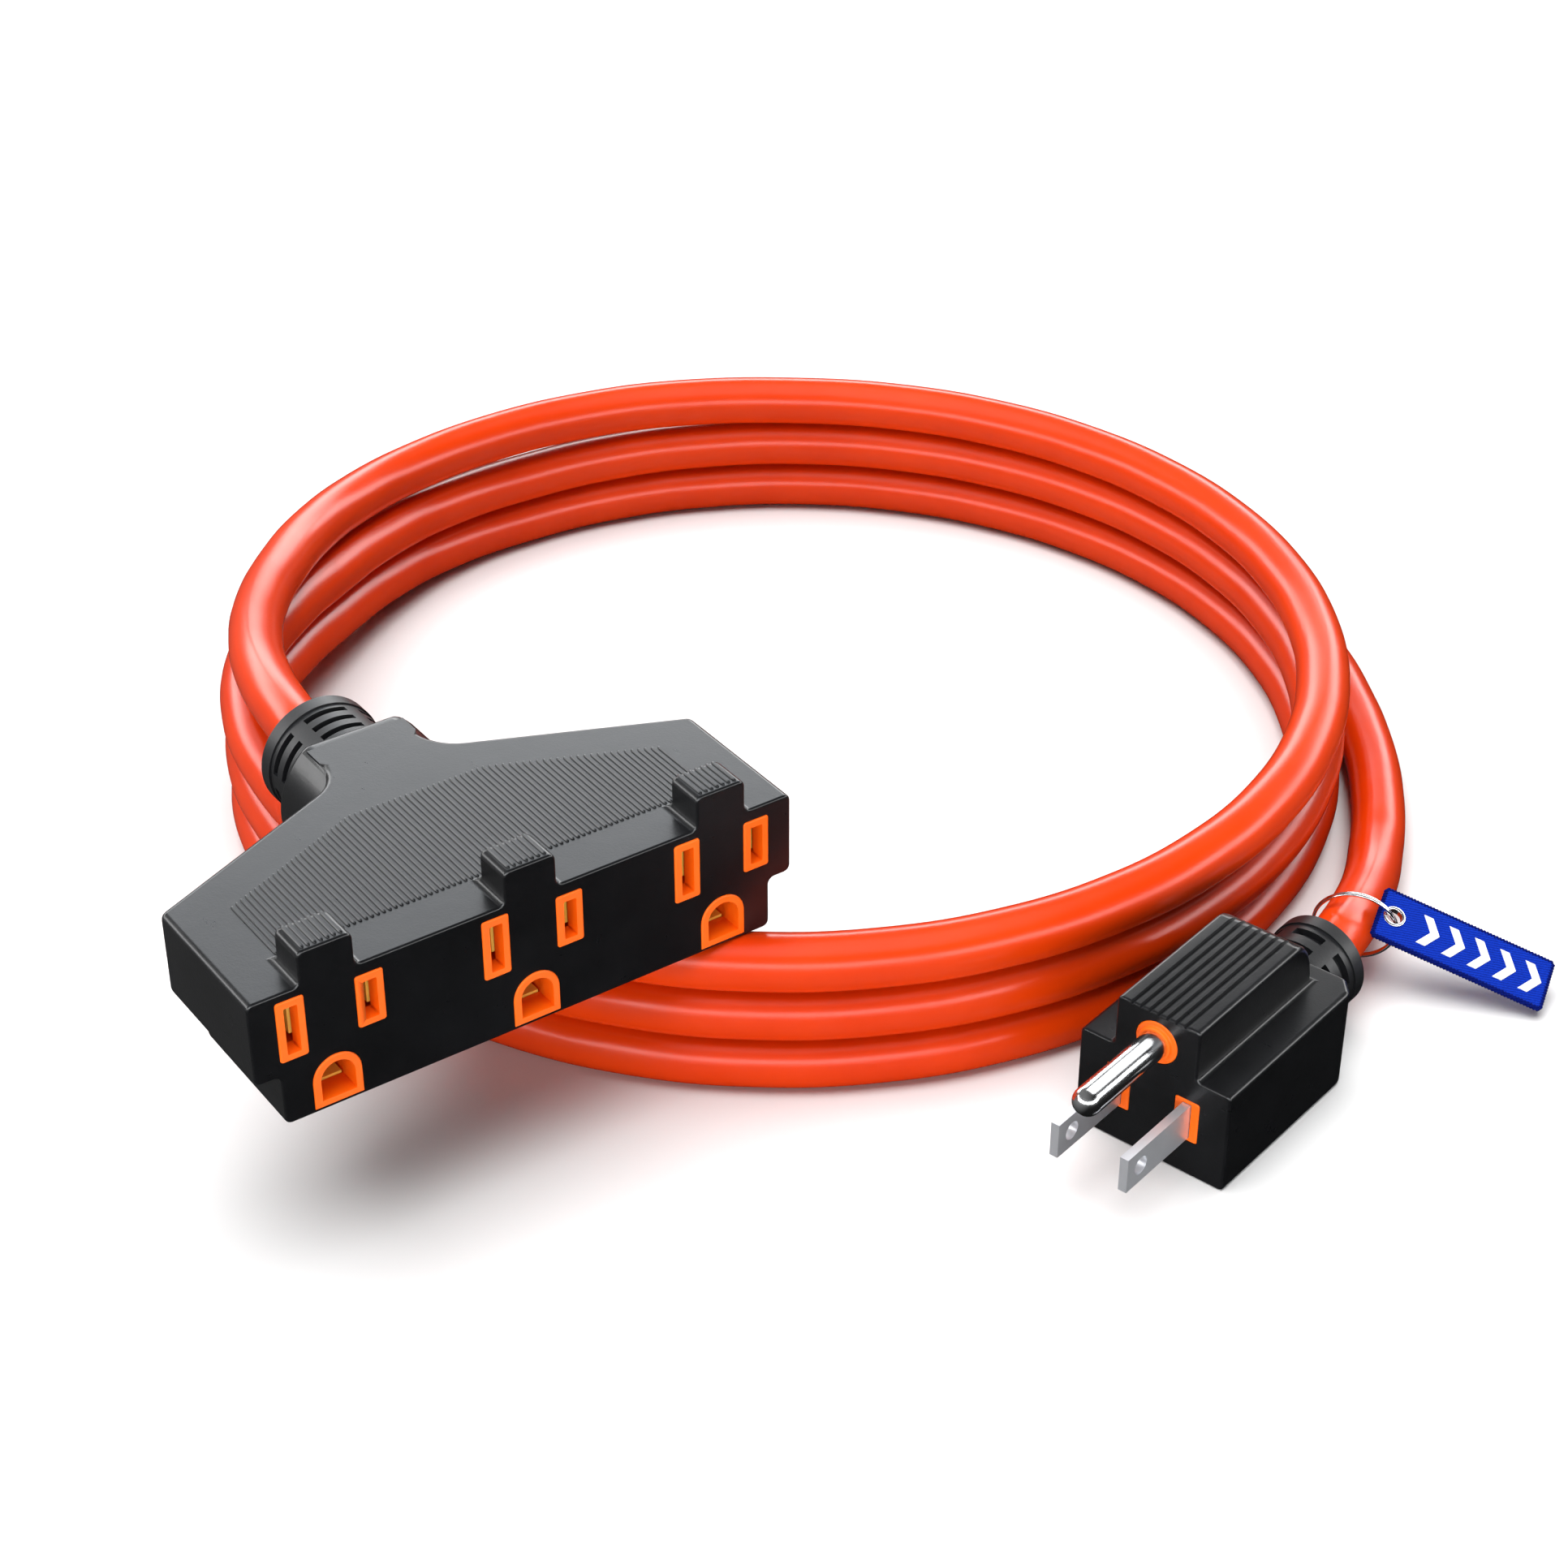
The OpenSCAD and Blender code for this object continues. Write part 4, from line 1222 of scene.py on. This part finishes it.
def area_light(name, towards, size, watts, distance=LIGHT_DISTANCE, colour=WHITE, lit=True,
               mirrored=True, only=()):
    """A softbox at a distance in a direction from the object, facing it. It lights surfaces if lit
    is true, and shows in their gloss if mirrored is true. Only limits it to those pieces."""
    data = bpy.data.lights.new(name, "AREA")
    data.shape = "RECTANGLE"
    data.size, data.size_y = size
    data.energy = watts
    data.color = colour
    light = bpy.data.objects.new(name, data)
    bpy.context.scene.collection.objects.link(light)
    direction = Vector(towards).normalized()
    light.location = MIDDLE + direction * distance
    light.rotation_euler = (-direction).to_track_quat("-Z", "Y").to_euler()
    light.visible_camera = False
    light.visible_diffuse = lit
    light.visible_glossy = mirrored
    if only:
        group = bpy.data.collections.new(name + "_lit")
        for piece in only:
            group.objects.link(piece)
        light.light_linking.receiver_collection = group


def make_world():
    """Dim surroundings: grey above and at the back left, dark below and in front."""
    world = bpy.data.worlds.new("studio")
    bpy.context.scene.world = world
    world.use_nodes = True
    tree = world.node_tree
    place = tree.nodes.new("ShaderNodeTexCoord")
    turned = tree.nodes.new("ShaderNodeVectorMath")
    turned.operation = "DOT_PRODUCT"
    turned.inputs[1].default_value = (-0.7, 0.5, 0.5)
    level = tree.nodes.new("ShaderNodeMapRange")
    level.inputs["From Min"].default_value = -0.2
    level.inputs["From Max"].default_value = 0.8
    level.inputs["To Min"].default_value = 0.01
    level.inputs["To Max"].default_value = 0.2
    tree.links.new(place.outputs["Generated"], turned.inputs[0])
    tree.links.new(turned.outputs["Value"], level.inputs["Value"])
    tree.links.new(level.outputs["Result"], tree.nodes["Background"].inputs["Strength"])
    tree.nodes["Background"].inputs["Color"].default_value = (*WHITE, 1)


def pieces_named(*names):
    return [piece for piece in bpy.data.objects if piece.name in names]


def make_light():
    """An even overhead light, a ring of softboxes that only gloss shows, and softboxes of their own
    for the black mouldings and for the metal."""
    connector = pieces_named("connector_housing", "connector_strain_relief")
    plug = pieces_named("plug_housing", "plug_strain_relief")
    bare_metal = pieces_named("ground_pin", "line_blade", "neutral_blade", "split_ring", "eyelet")
    area_light("connector_softbox", BEHIND, SOFTBOX, watts=7.5, colour=COOL, only=connector)
    area_light("plug_softbox", BEHIND, SOFTBOX, watts=1, colour=COOL, only=plug)
    area_light("neck_softbox", (-0.6, -0.7, 0.7), SOFTBOX, watts=12, colour=COOL,
               only=connector + plug)
    area_light("metal_softbox", (0.62, 0.17, 0.75), (1.4, 1.2), watts=9, lit=False,
               only=bare_metal)
    for k in range(RING_LIGHTS):
        angle = math.tau * (k + 0.25) / RING_LIGHTS
        towards = (math.cos(angle), math.sin(angle), math.tan(RING_HEIGHT))
        area_light(f"ring_softbox_{k}", towards, (1.1, 0.36), watts=8, lit=False)
    area_light("front_strip", (-0.5, -0.7, 0.13), (1.8, 0.22), watts=15, mirrored=False)
    area_light("overhead", (-0.1, 0.05, 1), (3.6, 3.6), watts=220, distance=OVERHEAD_DISTANCE,
               mirrored=False)


make_floor()
make_backdrop()
make_light()
make_world()
bpy.context.scene.view_settings.view_transform = "Standard"
